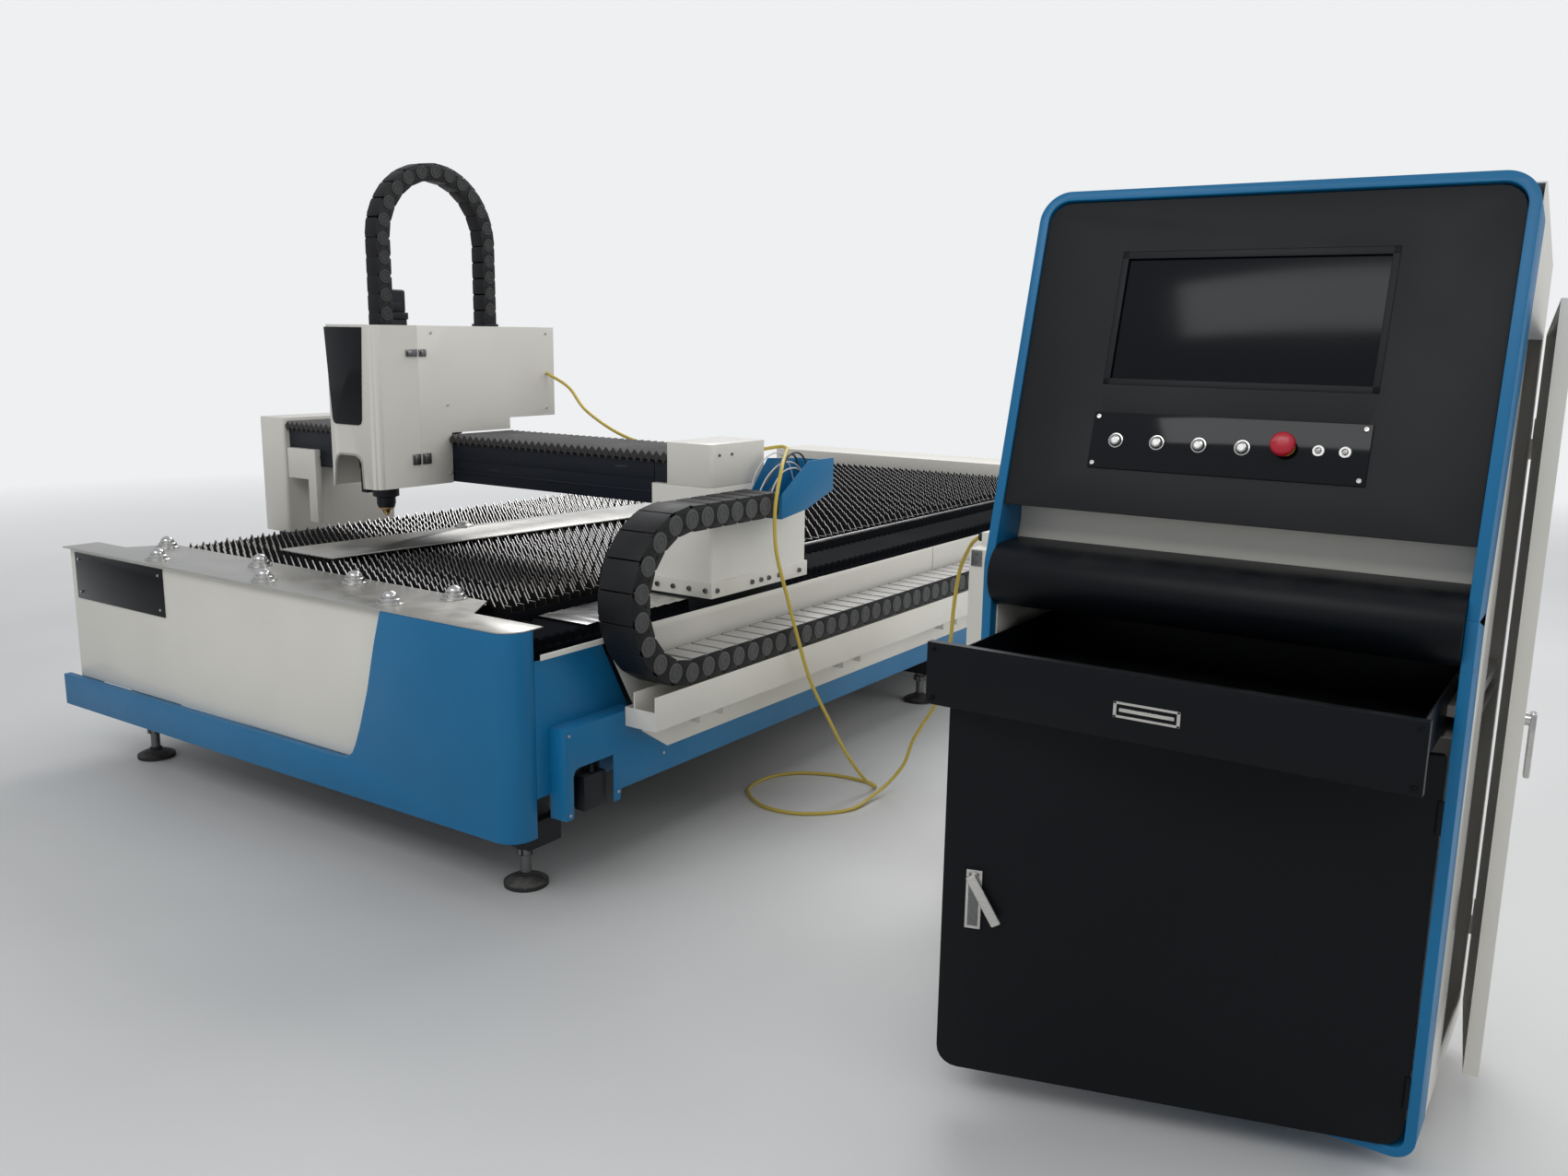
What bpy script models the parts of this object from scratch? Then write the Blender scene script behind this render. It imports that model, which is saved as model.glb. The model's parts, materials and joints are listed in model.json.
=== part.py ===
"""Fiber laser cutting machine: bed, gantry, cutting head, control console and laser source.

Lengths are in metres. Sizes are given from the middle of the bed (X), from its front face (Y) and
from the floor (Z), and every solid is then moved to the frame whose origin is the middle of the
front right foot.
"""
import math

import bmesh
import bpy
from mathutils import Matrix, Vector

for old_object in list(bpy.data.objects):
    bpy.data.objects.remove(old_object, do_unlink=True)

GAP = 0.0003
SHEET = 0.003
OVERLAP = 0.001
REACH = 0.02
SHARP_ANGLE = math.radians(35)
QUARTER_TURN = math.pi / 2
FULL_TURN = 2 * math.pi
HALF_SHARE = 0.5

# Feet and the origin
FOOT_SPREAD_X = 1.79
FOOT_INSET_Y = 0.18
FOOT_ROWS_Y = (FOOT_INSET_Y, 2.40, 4.25)
FOOT_PROFILE = ((0.0, 0.0), (0.060, 0.0), (0.060, 0.012), (0.030, 0.024), (0.014, 0.026),
                (0.014, 0.088), (0.024, 0.088), (0.024, 0.108), (0.014, 0.108), (0.014, 0.140),
                (0.0, 0.140))
FOOT_SIDES = 10
BRACKET_HALF = (0.075, 0.060)
BRACKET_Z = (0.130, 0.201)
FOOT_POST_HALF = 0.045
ORIGIN = Vector((HALF_SHARE * FOOT_SPREAD_X, FOOT_INSET_Y, 0))

# Steel frame of the bed
BEAM_X = (0.800, 0.980)
BEAM_Y = (0.100, 4.360)
BEAM_Z = (0.300, 0.600)
CROSS_Z = (0.300, 0.420)
CROSS_ROWS_Y = ((0.100, 0.220), (1.200, 1.300), (2.300, 2.500), (3.400, 3.500), (4.240, 4.360))
LEDGE_X = (0.740, 0.801)
LEDGE_Y = (0.250, 4.240)
LEDGE_Z = (0.530, 0.550)
OUTRIGGER_Z = (0.450, 0.560)
OUTRIGGER_ROWS_Y = ((0.170, 0.230), (0.700, 0.760), (1.500, 1.560), (2.400, 2.460), (3.300, 3.360),
                    (4.200, 4.260))
FRONT_BRACKET_X = ((-0.650, -0.550), (0.450, 0.550))
FRONT_BRACKET_Z = (0.320, 0.400)

# Front of the bed
FRONT_HALF_WIDTH = 1.040
PANEL_Y = (0.025, 0.028)
PANEL_Z = (0.3003, 0.741)
PANEL_RIGHT = 0.600
SHELL_DEPTH = 0.0247
SHELL_CORNER_RADIUS = 0.060
SHELL_RETURN_Y = 0.085
SHELL_LOW = 0.195
SHELL_TOP = 0.741
SKIRT_LEFT = -1.110
SKIRT_TOP = 0.300
SWOOSH = ((0.563, 0.741), (0.531, 0.644), (0.495, 0.511), (0.456, 0.401), (0.434, 0.350),
          (0.420, 0.325), (0.398, 0.307), (0.360, 0.300))
NAMEPLATE_INSET = 0.030
NAMEPLATE_WIDTH = 0.514
NAMEPLATE_X = (NAMEPLATE_INSET - FRONT_HALF_WIDTH,
               NAMEPLATE_INSET + NAMEPLATE_WIDTH - FRONT_HALF_WIDTH)
NAMEPLATE_Y = (0.0217, 0.0247)
NAMEPLATE_Z = (0.573, 0.727)
NAMEPLATE_SCREW_INSET = 0.022
NAMEPLATE_SCREW_RADIUS = 0.007
NAMEPLATE_SCREW_RISE = 0.002

# Loading plate with ball units
PLATE_Z = (0.7413, 0.745)
PLATE_SIDE_Y = 0.120
PLATE_REAR = ((0.790, 0.120), (0.700, 0.250), (-0.800, 0.250), (-0.870, 0.120))
BALL_UNITS = ((-0.766, 0.205), (-0.236, 0.191), (0.211, 0.195), (0.605, 0.220),
              (-0.571, 0.057), (-0.013, 0.052), (0.526, 0.066))
BALL_PROFILE = ((0.0, -0.001), (0.036, -0.001), (0.036, 0.005), (0.028, 0.007), (0.028, 0.014),
                (0.024, 0.026), (0.012, 0.035), (0.0, 0.037))
BALL_SIDES = 10

# Right side of the bed
BLUE_SIDE_X = (1.037, 1.040)
BLUE_SIDE_OUTLINE = ((0.0853, 0.300), (0.460, 0.300), (0.460, 0.420), (0.333, 0.660),
                     (0.0853, 0.660))
WALL_X = (1.0565, 1.060)
WALL_OUTLINE = ((0.090, 0.665), (0.330, 0.665), (0.4575, 0.4335), (4.400, 0.4335), (4.400, 0.687),
                (0.420, 0.687), (0.340, 0.680), (0.090, 0.680))
WALL_FLANGE_X = (1.0565, 1.095)
WALL_FLANGE_Y = (0.4575, 4.400)
WALL_FLANGE_Z = (0.4335, 0.4370)
APRON_X = (1.092, 1.095)
APRON_OUTLINE = ((0.5385, 0.3353), (4.400, 0.3353), (4.400, 0.4370), (0.418, 0.4370),
                 (0.4315, 0.4043))
SIDE_SKIRT_X = (1.0403, 1.095)
SIDE_SKIRT_OUTLINE = ((0.131, 0.237), (0.161, 0.237), (0.161, 0.349), (0.167, 0.363),
                      (0.181, 0.369), (0.313, 0.369), (0.313, 0.237), (0.339, 0.237),
                      (0.345, 0.266), (4.400, 0.266), (4.400, 0.335), (0.538, 0.335),
                      (0.431, 0.404), (0.400, 0.479), (0.131, 0.479))
SIDE_SKIRT_FLANGE_Y = (0.131, 0.400)
SIDE_SKIRT_FLANGE_Z = (0.476, 0.479)
SIDE_SKIRT_END_Y = (0.131, 0.134)
SIDE_SKIRT_END_Z = (0.237, 0.479)
TROUGH_X = (1.0953, 1.200)
TROUGH_Y = (0.361, 4.300)
TROUGH_FLOOR_Z = (0.437, 0.440)
TROUGH_OUTER_WALL = (1.197, 0.531)
TROUGH_INNER_WALL = (1.0983, 0.490)
TROUGH_RIB_X = (1.125, 1.128)
TROUGH_RIB_TOP = 0.5347

# Left side and rear of the bed
LEFT_PANEL_OUTLINE = ((0.0853, 0.300), (4.400, 0.300), (4.400, 0.687), (0.130, 0.687),
                      (0.0853, 0.660))
LEFT_SKIRT_X = (-1.095, -1.0403)
LEFT_SKIRT_Y = (0.0853, 4.400)
LEFT_SKIRT_Z = (0.266, 0.479)
LEFT_RETURN_X = (-1.040, -1.0153)
REAR_PANEL_Y = (4.3603, 4.3633)
REAR_PANEL_Z = (0.300, 0.701)
REAR_TOP_X = (-1.036, 1.036)
REAR_TOP_Y = (4.150, 4.450)
REAR_TOP_Z = (0.700, 0.800)

# Cutting table
SLAT_COUNT = 85
SLAT_FIRST_Y = 0.2645
SLAT_PITCH = 0.0451
SLAT_THICKNESS = 0.004
SLAT_HALF_WIDTH = 0.775
SLAT_LOW = 0.600
SLAT_ROOT = 0.727
SLAT_TIP = 0.757
SLAT_TEETH = 10
SLAT_END_WIDTH = 0.025
SLAT_END_TOP = 0.737
TABLE_BAR_X = (0.745, 0.774)
TABLE_BAR_Y = (0.2553, 4.130)
TABLE_BAR_Z = (0.5503, 0.640)
STRIP_OUTLINE = ((-0.367, 0.350), (-0.099, 0.350), (0.085, 2.350), (-0.175, 2.350))
STRIP_Z = (0.7573, 0.7620)
STRIP_KNOB = (-0.281, 1.055)
KNOB_PROFILE = ((0.0, -0.001), (0.030, -0.001), (0.030, 0.008), (0.016, 0.012), (0.016, 0.020),
                (0.0, 0.020))
KNOB_SIDES = 16
SLAG_TRAY_X = (-0.735, 0.735)
SLAG_TRAY_Y = (0.250, 4.130)
SLAG_TRAY_Z = (0.4203, 0.500)

# Rails and their bellows
RAIL_X = (0.865, 0.915)
RAIL_HEAD_X = (0.872, 0.908)
RAIL_Y = (0.130, 4.100)
RAIL_Z = (0.6003, 0.625)
RAIL_HEAD_Z = (0.624, 0.645)
BELLOWS_X = (0.800, 0.985)
BELLOWS_Z = (0.6053, 0.700)
BELLOWS_WALL = 0.004
BELLOWS_FOLD = 0.008
FRONT_BELLOWS_Y = (0.1253, 0.7750)
REAR_BELLOWS_Y = (1.2800, 4.1450)
FRONT_BELLOWS_FOLDS = 13
REAR_BELLOWS_FOLDS = 24

# Gantry
GANTRY_FRONT = 0.775
BEAM_LEFT = -0.9237
BEAM_RIGHT = 0.8377
BEAM_TOP_RIGHT = 0.8957
GANTRY_BEAM_Y = (0.800, 1.050)
GANTRY_BEAM_Z = (0.968, 1.100)
GANTRY_NOTCH_Z = 1.0333
COVER_Y = (0.785, 1.058)
COVER_LOW = 1.1003
COVER_VALLEY = 1.112
COVER_RIDGE = 1.128
COVER_PITCH = 0.028
END_BOX_X = (0.896, 1.066)
END_BOX_Y = (GANTRY_FRONT, 1.040)
END_BOX_Z = (1.0333, 1.157)
END_FOOT_X = (0.838, 1.066)
END_FOOT_Y = (GANTRY_FRONT, 1.270)
END_FOOT_Z = (0.757, 1.033)
END_FLANGE_X = (0.834, 1.070)
END_FLANGE_Y = (0.771, 1.274)
END_FLANGE_Z = (0.711, 0.758)
END_CORNER_RADIUS = 0.012
LEFT_COLUMN_X = (-1.066, -0.924)
LEFT_COLUMN_Z = (0.711, 1.137)
LEFT_BRACKET_OUTLINE = ((-0.905, 0.920), (-0.790, 0.920), (-0.790, 0.765), (-0.745, 0.765),
                        (-0.745, 1.030), (-0.905, 1.030))
LEFT_BRACKET_Y = (GANTRY_FRONT, 0.7997)
GUARD_X = (0.820, 0.985)
GUARD_Y = (0.7753, 1.2797)
GUARD_Z = (0.6453, 0.7107)
GUARD_CHEEK_X = (0.975, 0.985)
GUARD_CHEEK_LOW = 0.615

# Side cable chain and its tray
CHAIN_X = (1.077, 1.200)
CHAIN_WALL = 0.005
CHAIN_OUTER_RADIUS = 0.2425
CHAIN_HEIGHT = 0.070
CHAIN_BEND_Y = 0.5195
CHAIN_LOW = 0.535
CHAIN_FIXED_END_Y = 2.550
CHAIN_TRAY_END_Y = 0.922
CHAIN_BEND_STEPS = 18
TRAY_OUTER_X = (1.2035, 1.2065)
TRAY_OUTER_OUTLINE = ((0.925, 0.940), (1.060, 0.957), (1.203, 1.002), (1.203, 1.100),
                      (1.065, 1.100), (0.925, 1.012))
TRAY_INNER_X = (1.0663, 1.0693)
TRAY_INNER_OUTLINE = ((0.925, 0.940), (1.060, 0.957), (1.203, 1.002), (1.203, 1.090),
                      (1.050, 1.101), (0.970, 1.013), (0.925, 0.990))
TRAY_SPAN_X = (TRAY_INNER_X[0], TRAY_OUTER_X[1])
TRAY_FLOOR_OUTLINE = ((0.925, 0.940), (1.060, 0.957), (1.203, 1.002), (1.203, 1.006),
                      (1.059, 0.961), (0.925, 0.944))
TRAY_REAR_Y = (1.200, 1.203)
TRAY_REAR_Z = (1.003, 1.092)

# Cutting head on its carriage
HEAD_X = (-0.278, -0.035)
HEAD_SPLIT_Y = 0.665
HEAD_OUTLINE = ((0.6653, 0.965), (0.7967, 0.965), (0.7967, 1.1303), (1.060, 1.1303),
                (1.060, 1.169), (1.280, 1.169), (1.280, 1.478), (0.6653, 1.478))
HEAD_CAVITY_OUTLINE = ((0.600, 0.950), (0.7937, 0.950), (0.7937, 1.1333), (1.057, 1.1333),
                       (1.057, 1.172), (1.277, 1.172), (1.277, 1.475), (0.730, 1.475),
                       (0.730, 1.500), (0.600, 1.500))
CARRIAGE_PLATE_X = (-0.2747, -0.0383)
CARRIAGE_PLATE_Y = (0.7797, 0.7934)
CARRIAGE_PLATE_Z = (0.975, 1.125)
CARRIAGE_SHOE_X = (-0.250, -0.060)
CARRIAGE_SHOE_Y = (0.793, 0.7997)
CARRIAGE_SHOE_Z = (0.990, 1.090)
CARRIAGE_SLOT_X = (-0.260, -0.050)
CARRIAGE_SLOT_Z = (0.980, 1.100)
COLUMN_X = (-0.215, -0.080)
COLUMN_Y = (0.700, 0.781)
COLUMN_Z = (0.980, 1.440)
MOTOR_SEAT_X = (-0.195, -0.108)
MOTOR_SEAT_Y = (0.615, 0.701)
MOTOR_SEAT_Z = (1.330, 1.3497)
MOTOR_X = (-0.190, -0.1103)
MOTOR_Y = (0.603, 0.6997)
MOTOR_Z = (1.350, 1.590)
COVER_FRONT_Y = 0.490
COVER_CORNER_RADIUS = 0.030
COVER_Z = (0.965, 1.478)
COVER_LIP_Y = 0.527
COVER_LIP_Z = (1.475, 1.478)
ARCH_OUTLINE = ((-0.256, 0.900), (-0.238, 1.040), (-0.230, 1.058), (-0.215, 1.068),
                (-0.140, 1.068), (-0.122, 1.060), (-0.112, 1.045), (-0.105, 0.900))
WINDOW_OUTLINE = ((-0.265, 1.470), (-0.243, 1.180), (-0.236, 1.169), (-0.225, 1.166),
                  (-0.118, 1.166), (-0.106, 1.170), (-0.100, 1.182), (-0.082, 1.470))
WINDOW_THICKNESS = 0.003
HINGE_POINT = (-0.0335, HEAD_SPLIT_Y)
CUTTER_BLOCK_X = (-0.205, -0.085)
CUTTER_BLOCK_Y = (0.550, 0.6700)
CUTTER_BLOCK_Z = (1.020, 1.240)
CUTTER_SLIDE_X = (-0.200, -0.090)
CUTTER_SLIDE_Y = (0.669, 0.6997)
CUTTER_SLIDE_Z = (1.060, 1.300)
NOZZLE_CENTRE = (-0.145, 0.605)
NOZZLE_PROFILE = ((0.0, 0.865), (0.004, 0.865), (0.014, 0.884), (0.026, 0.892), (0.030, 0.905),
                  (0.030, 0.925), (0.042, 0.930), (0.042, 0.985), (0.048, 0.990), (0.048, 1.025),
                  (0.0, 1.025))
NOZZLE_SIDES = 14
SENSOR_X = (-0.212, -0.180)
SENSOR_Y = (0.560, 0.640)
SENSOR_Z = (0.940, 1.025)
ARCH_CHAIN_X = (-0.108, -0.050)
ARCH_CHAIN_CENTRE = (0.781, 1.741)
ARCH_CHAIN_OUTER = 0.244
ARCH_CHAIN_HEIGHT = 0.054
ARCH_CHAIN_NEAR_LOW = 1.400
ARCH_CHAIN_FAR_LOW = 1.4783
ARCH_CHAIN_STEPS = 12
ARCH_CHAIN_WALL = 0.004
ARCH_BRACKET_X = (-0.105, -0.082)
ARCH_BRACKET_Y = (0.570, 0.6997)
ARCH_BRACKET_Z = (1.402, 1.425)

# Control console
CONSOLE_X = (2.208, 3.087)
CONSOLE_FRONT_Y = 0.175
CONSOLE_LOW = 0.050
CONSOLE_TOP = 1.756
CONSOLE_WAIST = 1.030
CONSOLE_TILT = math.radians(15.7)
CONSOLE_REAR_Y = 0.780
BAND_DEPTH = 0.100
BAND_OUTER_X = CONSOLE_X
BAND_INNER_X = (2.227, 3.068)
BAND_INNER_Z = (0.069, 1.737)
BAND_TOP_RADIUS = 0.060
BAND_LOW_RADIUS = 0.040
BAND_WALL = 0.019
CORNER_STEPS = 5
SHELL_X = (2.213, 3.082)
SHELL_REAR_TOP = 1.620
SHELL_FRONT_TOP = 1.745
CABINET_LOW = 0.060
SHELL_CAVITY_FRONT = 0.100
BULKHEAD_Y = (0.300, 0.303)
BULKHEAD_Z = (0.930, 1.100)
BULKHEAD_TOP_Z = (1.099, 1.160)
DECK_Y = (0.2753, 0.778)
DECK_Z = (0.800, 0.803)
SIDE_OPENING_X = (3.070, 3.100)
SIDE_OPENING_Y = (0.470, 0.750)
SIDE_OPENING_Z = (0.130, 1.480)
RUNNER_Y = (0.2753, 0.700)
RUNNER_Z = (0.840, 0.860)
CASTER_X = (2.270, 3.025)
CASTER_Y = (0.340, 0.700)
CASTER_RADIUS = 0.024
CASTER_HALF_WIDTH = 0.010
CASTER_FORK_HALF = 0.014
CASTER_FORK_Z = (0.030, 0.0615)
CASTER_SIDES = 14
CONTROL_UNIT_X = (2.450, 2.850)
CONTROL_UNIT_Y = (0.380, 0.760)
CONTROL_UNIT_Z = (0.0615, 0.560)
FASCIA_X = (2.2273, 3.0677)
FASCIA_Y = (0.004, 0.008)
FASCIA_CLEARANCE = 0.0034
FASCIA_RISE = (0.122, (BAND_INNER_Z[1] - CONSOLE_WAIST) / math.cos(CONSOLE_TILT)
               - FASCIA_CLEARANCE)
FASCIA_HEIGHT = FASCIA_RISE[1] - FASCIA_RISE[0]
FASCIA_LOW_RADIUS = 0.002
FASCIA_TOP_RADIUS = 0.044
SCREEN_X = (2.392, 2.885)
SCREEN_SHARES = (0.4072, 0.8342)
SCREEN_RISE = (FASCIA_RISE[0] + SCREEN_SHARES[0] * FASCIA_HEIGHT,
               FASCIA_RISE[0] + SCREEN_SHARES[1] * FASCIA_HEIGHT)
SCREEN_MARGIN = 0.010
SCREEN_Y = (0.0083, 0.0123)
BUTTON_OPENING_X = (2.400, 2.870)
BUTTON_SHARE = 0.2282
BUTTON_RISE = FASCIA_RISE[0] + BUTTON_SHARE * FASCIA_HEIGHT
BUTTON_OPENING_REACH = 0.040
BUTTON_OPENING_RISE = (BUTTON_RISE - BUTTON_OPENING_REACH, BUTTON_RISE + BUTTON_OPENING_REACH)
BUTTON_PLATE_X = (2.387, 2.885)
BUTTON_PLATE_Y = (0.0007, 0.0037)
BUTTON_PLATE_REACH = 0.054
BUTTON_PLATE_RISE = (BUTTON_RISE - BUTTON_PLATE_REACH, BUTTON_RISE + BUTTON_PLATE_REACH)
BUTTON_ROW_X = (2.437, 2.516, 2.594, 2.672)
BUTTON_RADIUS = 0.0095
BUTTON_HOLE_RADIUS = 0.0103
BUTTON_Y = (-0.010, 0.018)
BUTTON_SIDES = 12
STOP_RAISE = 0.007
STOP_CENTRE = (2.746, BUTTON_RISE + STOP_RAISE)
STOP_PROFILE = ((0.0, -0.034), (0.016, -0.033), (0.0215, -0.028), (0.0215, -0.018),
                (0.0095, -0.016), (0.0095, 0.020), (0.0, 0.020))
STOP_SIDES = 14
SHELF_X = (2.2273, 3.0677)
SHELF_REAR_Y = 0.2997
SHELF_NOSE_DROP = 0.0225
SHELF_NOSE = (0.2125, CONSOLE_WAIST - SHELF_NOSE_DROP, 0.0625)
SHELF_NOSE_STEPS = 8
DRAWER_FRONT_X = (2.229, 3.066)
DRAWER_FRONT_Y = (-0.095, -0.077)
DRAWER_FRONT_Z = (0.806, 0.924)
DRAWER_BODY_X = (2.250, 3.045)
DRAWER_BODY_Y = (-0.078, 0.440)
DRAWER_BODY_Z = (0.815, 0.895)
DRAWER_HANDLE_X = (2.586, 2.700)
DRAWER_HANDLE_Y = (-0.099, -0.094)
DRAWER_HANDLE_Z = (0.848, 0.872)
DOOR_X = (2.229, 3.066)
DOOR_Y = (0.177, 0.197)
DOOR_Z = (0.071, 0.797)
DOOR_LOW_RADIUS = 0.040
DOOR_TOP_RADIUS = 0.004
DOOR_HINGE = (3.063, 0.1755)
DOOR_REST_ANGLE = math.radians(16.5)
DOOR_KNUCKLE_RADIUS = 0.0047
DOOR_KNUCKLE_ROWS_Z = ((0.150, 0.210), (0.660, 0.720))
LOCK_X = (2.272, 2.306)
LOCK_Y = (0.173, 0.178)
LOCK_Z = (0.365, 0.487)
LOCK_PIVOT = (2.289, 0.468)
LOCK_HANDLE_TILT = math.radians(30)
LATCH_PIVOT_Y = (0.161, 0.1727)
LATCH_PIVOT_RADIUS = 0.011
LATCH_BAR_Y = (0.153, 0.1627)
LATCH_BAR_HALF_WIDTH = 0.010
LATCH_BAR_RISE = (-0.095, 0.012)
LATCH_SIDES = 14
SIDE_DOOR_HINGE = (3.090, 0.7745)
SIDE_KNUCKLE_RADIUS = 0.006
SIDE_KNUCKLE_ROWS_Z = (0.290, 1.290)
SIDE_KNUCKLE_LENGTH = 0.040
SIDE_SHELL_TAB_Y = (0.7705, 0.7785)
SIDE_DOOR_TAB_X = (3.0865, 3.094)
SIDE_DOOR_REST_ANGLE = math.radians(7.0)
SIDE_DOOR_X = (3.0855, 3.1125)
SIDE_DOOR_OUTLINE = ((0.450, 0.100), (0.766, 0.100), (0.766, 1.490), (0.450, 1.550))
SIDE_DOOR_PAN_X = (3.080, 3.1095)
SIDE_DOOR_PAN_OUTLINE = ((0.453, 0.103), (0.763, 0.103), (0.763, 1.487), (0.453, 1.547))
SIDE_HANDLE_PIVOT = (0.495, 0.800)
SIDE_HANDLE_PIVOT_X = (3.1128, 3.124)
SIDE_HANDLE_PIVOT_RADIUS = 0.012
SIDE_HANDLE_BAR_X = (3.1225, 3.134)
SIDE_HANDLE_HALF_WIDTH = 0.011
SIDE_HANDLE_RISE = (-0.110, 0.014)

# Laser source and fibre cable
SOURCE_X = (1.800, 2.250)
SOURCE_Y = (0.950, 1.650)
SOURCE_Z = (0.040, 0.915)
SOURCE_PLINTH_INSET = 0.030
SOURCE_PLINTH_Z = (0.0, 0.041)
GLAND_X = (1.7996, 1.880)
GLAND_Y = (1.020, 1.080)
GLAND_Z = (0.914, 0.950)
CABLE_RADIUS = 0.0055
CABLE_ROUTE = ((1.1154, 1.0743, 1.1119), (1.1509, 1.0152, 1.1056), (1.1868, 0.9554, 1.0992),
               (1.2080, 0.9150, 1.0750), (1.2175, 0.8850, 1.0250), (1.219, 0.872, 0.958),
               (1.221, 0.880, 0.850), (1.226, 0.934, 0.706), (1.233, 0.985, 0.570),
               (1.240, 1.045, 0.433), (1.254, 1.135, 0.290), (1.268, 1.226, 0.154),
               (1.280, 1.320, 0.050), (1.286, 1.375, 0.012), (1.270, 1.400, 0.0063),
               (1.220, 1.415, 0.0058), (1.104, 1.404, 0.0058), (0.991, 1.343, 0.0058),
               (0.940, 1.236, 0.0058), (0.963, 1.110, 0.0058), (1.085, 1.024, 0.0058),
               (1.217, 1.042, 0.0058), (1.320, 1.157, 0.0065), (1.330, 1.290, 0.0180),
               (1.345, 1.370, 0.0450), (1.385, 1.390, 0.1100), (1.421, 1.371, 0.194),
               (1.490, 1.315, 0.285), (1.557, 1.252, 0.367), (1.605, 1.210, 0.480),
               (1.637, 1.181, 0.595), (1.650, 1.168, 0.700), (1.674, 1.148, 0.812),
               (1.725, 1.098, 0.888), (1.760, 1.062, 0.920), (1.782, 1.0502, 0.9315),
               (1.7968, 1.050, 0.932))
CABLE_POINTS = 80
UPPER_CABLE_ROUTE = ((-0.0315, 1.240, 1.318), (0.060, 1.255, 1.270), (0.180, 1.215, 1.195),
                     (0.400, 1.150, 1.127), (0.600, 1.130, 1.095), (0.800, 1.150, 1.085),
                     (0.920, 1.185, 1.105), (1.010, 1.200, 1.122), (1.0637, 1.1604, 1.1211),
                     (1.0894, 1.1177, 1.1166), (1.1150, 1.0750, 1.1120))
UPPER_CABLE_POINTS = 45
CABLE_SIDES = 2

CREAM = (0.80, 0.78, 0.72)
BLUE = (0.02, 0.20, 0.52)
BLACK = (0.020, 0.021, 0.024)
STAINLESS = (0.62, 0.62, 0.60)
STEEL = (0.42, 0.42, 0.42)
CHAIN_GREY = (0.045, 0.045, 0.048)
SCREEN_BLACK = (0.008, 0.009, 0.012)
STOP_RED = (0.65, 0.03, 0.05)
CABLE_YELLOW = (0.72, 0.52, 0.05)
FINISHES = {
    "cream": (CREAM, 0.42, 0.0),
    "blue": (BLUE, 0.38, 0.0),
    "black": (BLACK, 0.45, 0.0),
    "stainless": (STAINLESS, 0.30, 1.0),
    "steel": (STEEL, 0.45, 1.0),
    "chain": (CHAIN_GREY, 0.50, 0.0),
    "screen": (SCREEN_BLACK, 0.08, 0.0),
    "red": (STOP_RED, 0.40, 0.0),
    "yellow": (CABLE_YELLOW, 0.45, 0.0),
}


def block(span_x, span_y, span_z):
    corners = [(x, y, z) for z in span_z for x, y in
               ((span_x[0], span_y[0]), (span_x[1], span_y[0]),
                (span_x[1], span_y[1]), (span_x[0], span_y[1]))]
    faces = [(0, 1, 2, 3), (4, 5, 6, 7), (0, 1, 5, 4), (1, 2, 6, 5), (2, 3, 7, 6), (3, 0, 4, 7)]
    return corners, faces


def swept(rings):
    """Close a chain of equal rings into one solid with a cap at each end."""
    size = len(rings[0])
    corners = [point for ring in rings for point in ring]
    faces = [tuple(range(size)), tuple(range(len(corners) - size, len(corners)))]
    for step in range(len(rings) - 1):
        start = step * size
        for index in range(size):
            following = (index + 1) % size
            faces.append((start + index, start + following,
                          start + size + following, start + size + index))
    return corners, faces


def prism(outline, span, axis):
    """Extrude an outline along an axis; the outline gives the two other axes in order."""
    def point(pair, depth):
        if axis == "x":
            return (depth, pair[0], pair[1])
        if axis == "y":
            return (pair[0], depth, pair[1])
        return (pair[0], pair[1], depth)
    return swept([[point(pair, depth) for pair in outline] for depth in span])


def arc(centre, radius, start, end, steps):
    return [(centre[0] + radius * math.cos(start + (end - start) * step / steps),
             centre[1] + radius * math.sin(start + (end - start) * step / steps))
            for step in range(steps + 1)]


def bar(centre, radius, span, axis, sides):
    outline = arc(centre, radius, 0, FULL_TURN, sides)[:-1]
    return prism(outline, span, axis)


def turned(profile, centre, sides, height=0.0):
    """Turn a (radius, height) profile that starts and ends on the upright axis at the centre."""
    corners = [(centre[0], centre[1], height + profile[0][1])]
    faces = []
    for radius, rise in profile[1:-1]:
        corners += [(x, y, height + rise) for x, y in arc(centre, radius, 0, FULL_TURN, sides)[:-1]]
    corners.append((centre[0], centre[1], height + profile[-1][1]))
    top = len(corners) - 1
    last = top - sides
    for index in range(sides):
        following = (index + 1) % sides
        faces.append((0, 1 + index, 1 + following))
        faces.append((last + index, last + following, top))
        for step in range(len(profile) - 3):
            start = 1 + step * sides
            faces.append((start + index, start + following,
                          start + sides + following, start + sides + index))
    return corners, faces


def moved(solid, matrix):
    corners, faces = solid
    return [tuple(matrix @ Vector(corner)) for corner in corners], faces


def mirrored(solid):
    corners, faces = solid
    return [(-x, y, z) for x, y, z in corners], faces


def gathered(solids):
    corners = []
    faces = []
    for more_corners, more_faces in solids:
        offset = len(corners)
        corners += more_corners
        faces += [tuple(index + offset for index in face) for face in more_faces]
    return corners, faces


def mirrored_span(span):
    return (-span[1], -span[0])


def make_object(name, solid):
    corners, faces = solid
    shape = bmesh.new()
    vertices = [shape.verts.new(Vector(corner) - ORIGIN) for corner in corners]
    for face in faces:
        shape.faces.new([vertices[index] for index in face])
    bmesh.ops.recalc_face_normals(shape, faces=shape.faces)
    mesh = bpy.data.meshes.new(name)
    shape.to_mesh(mesh)
    shape.free()
    made = bpy.data.objects.new(name, mesh)
    bpy.context.scene.collection.objects.link(made)
    return made


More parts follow.
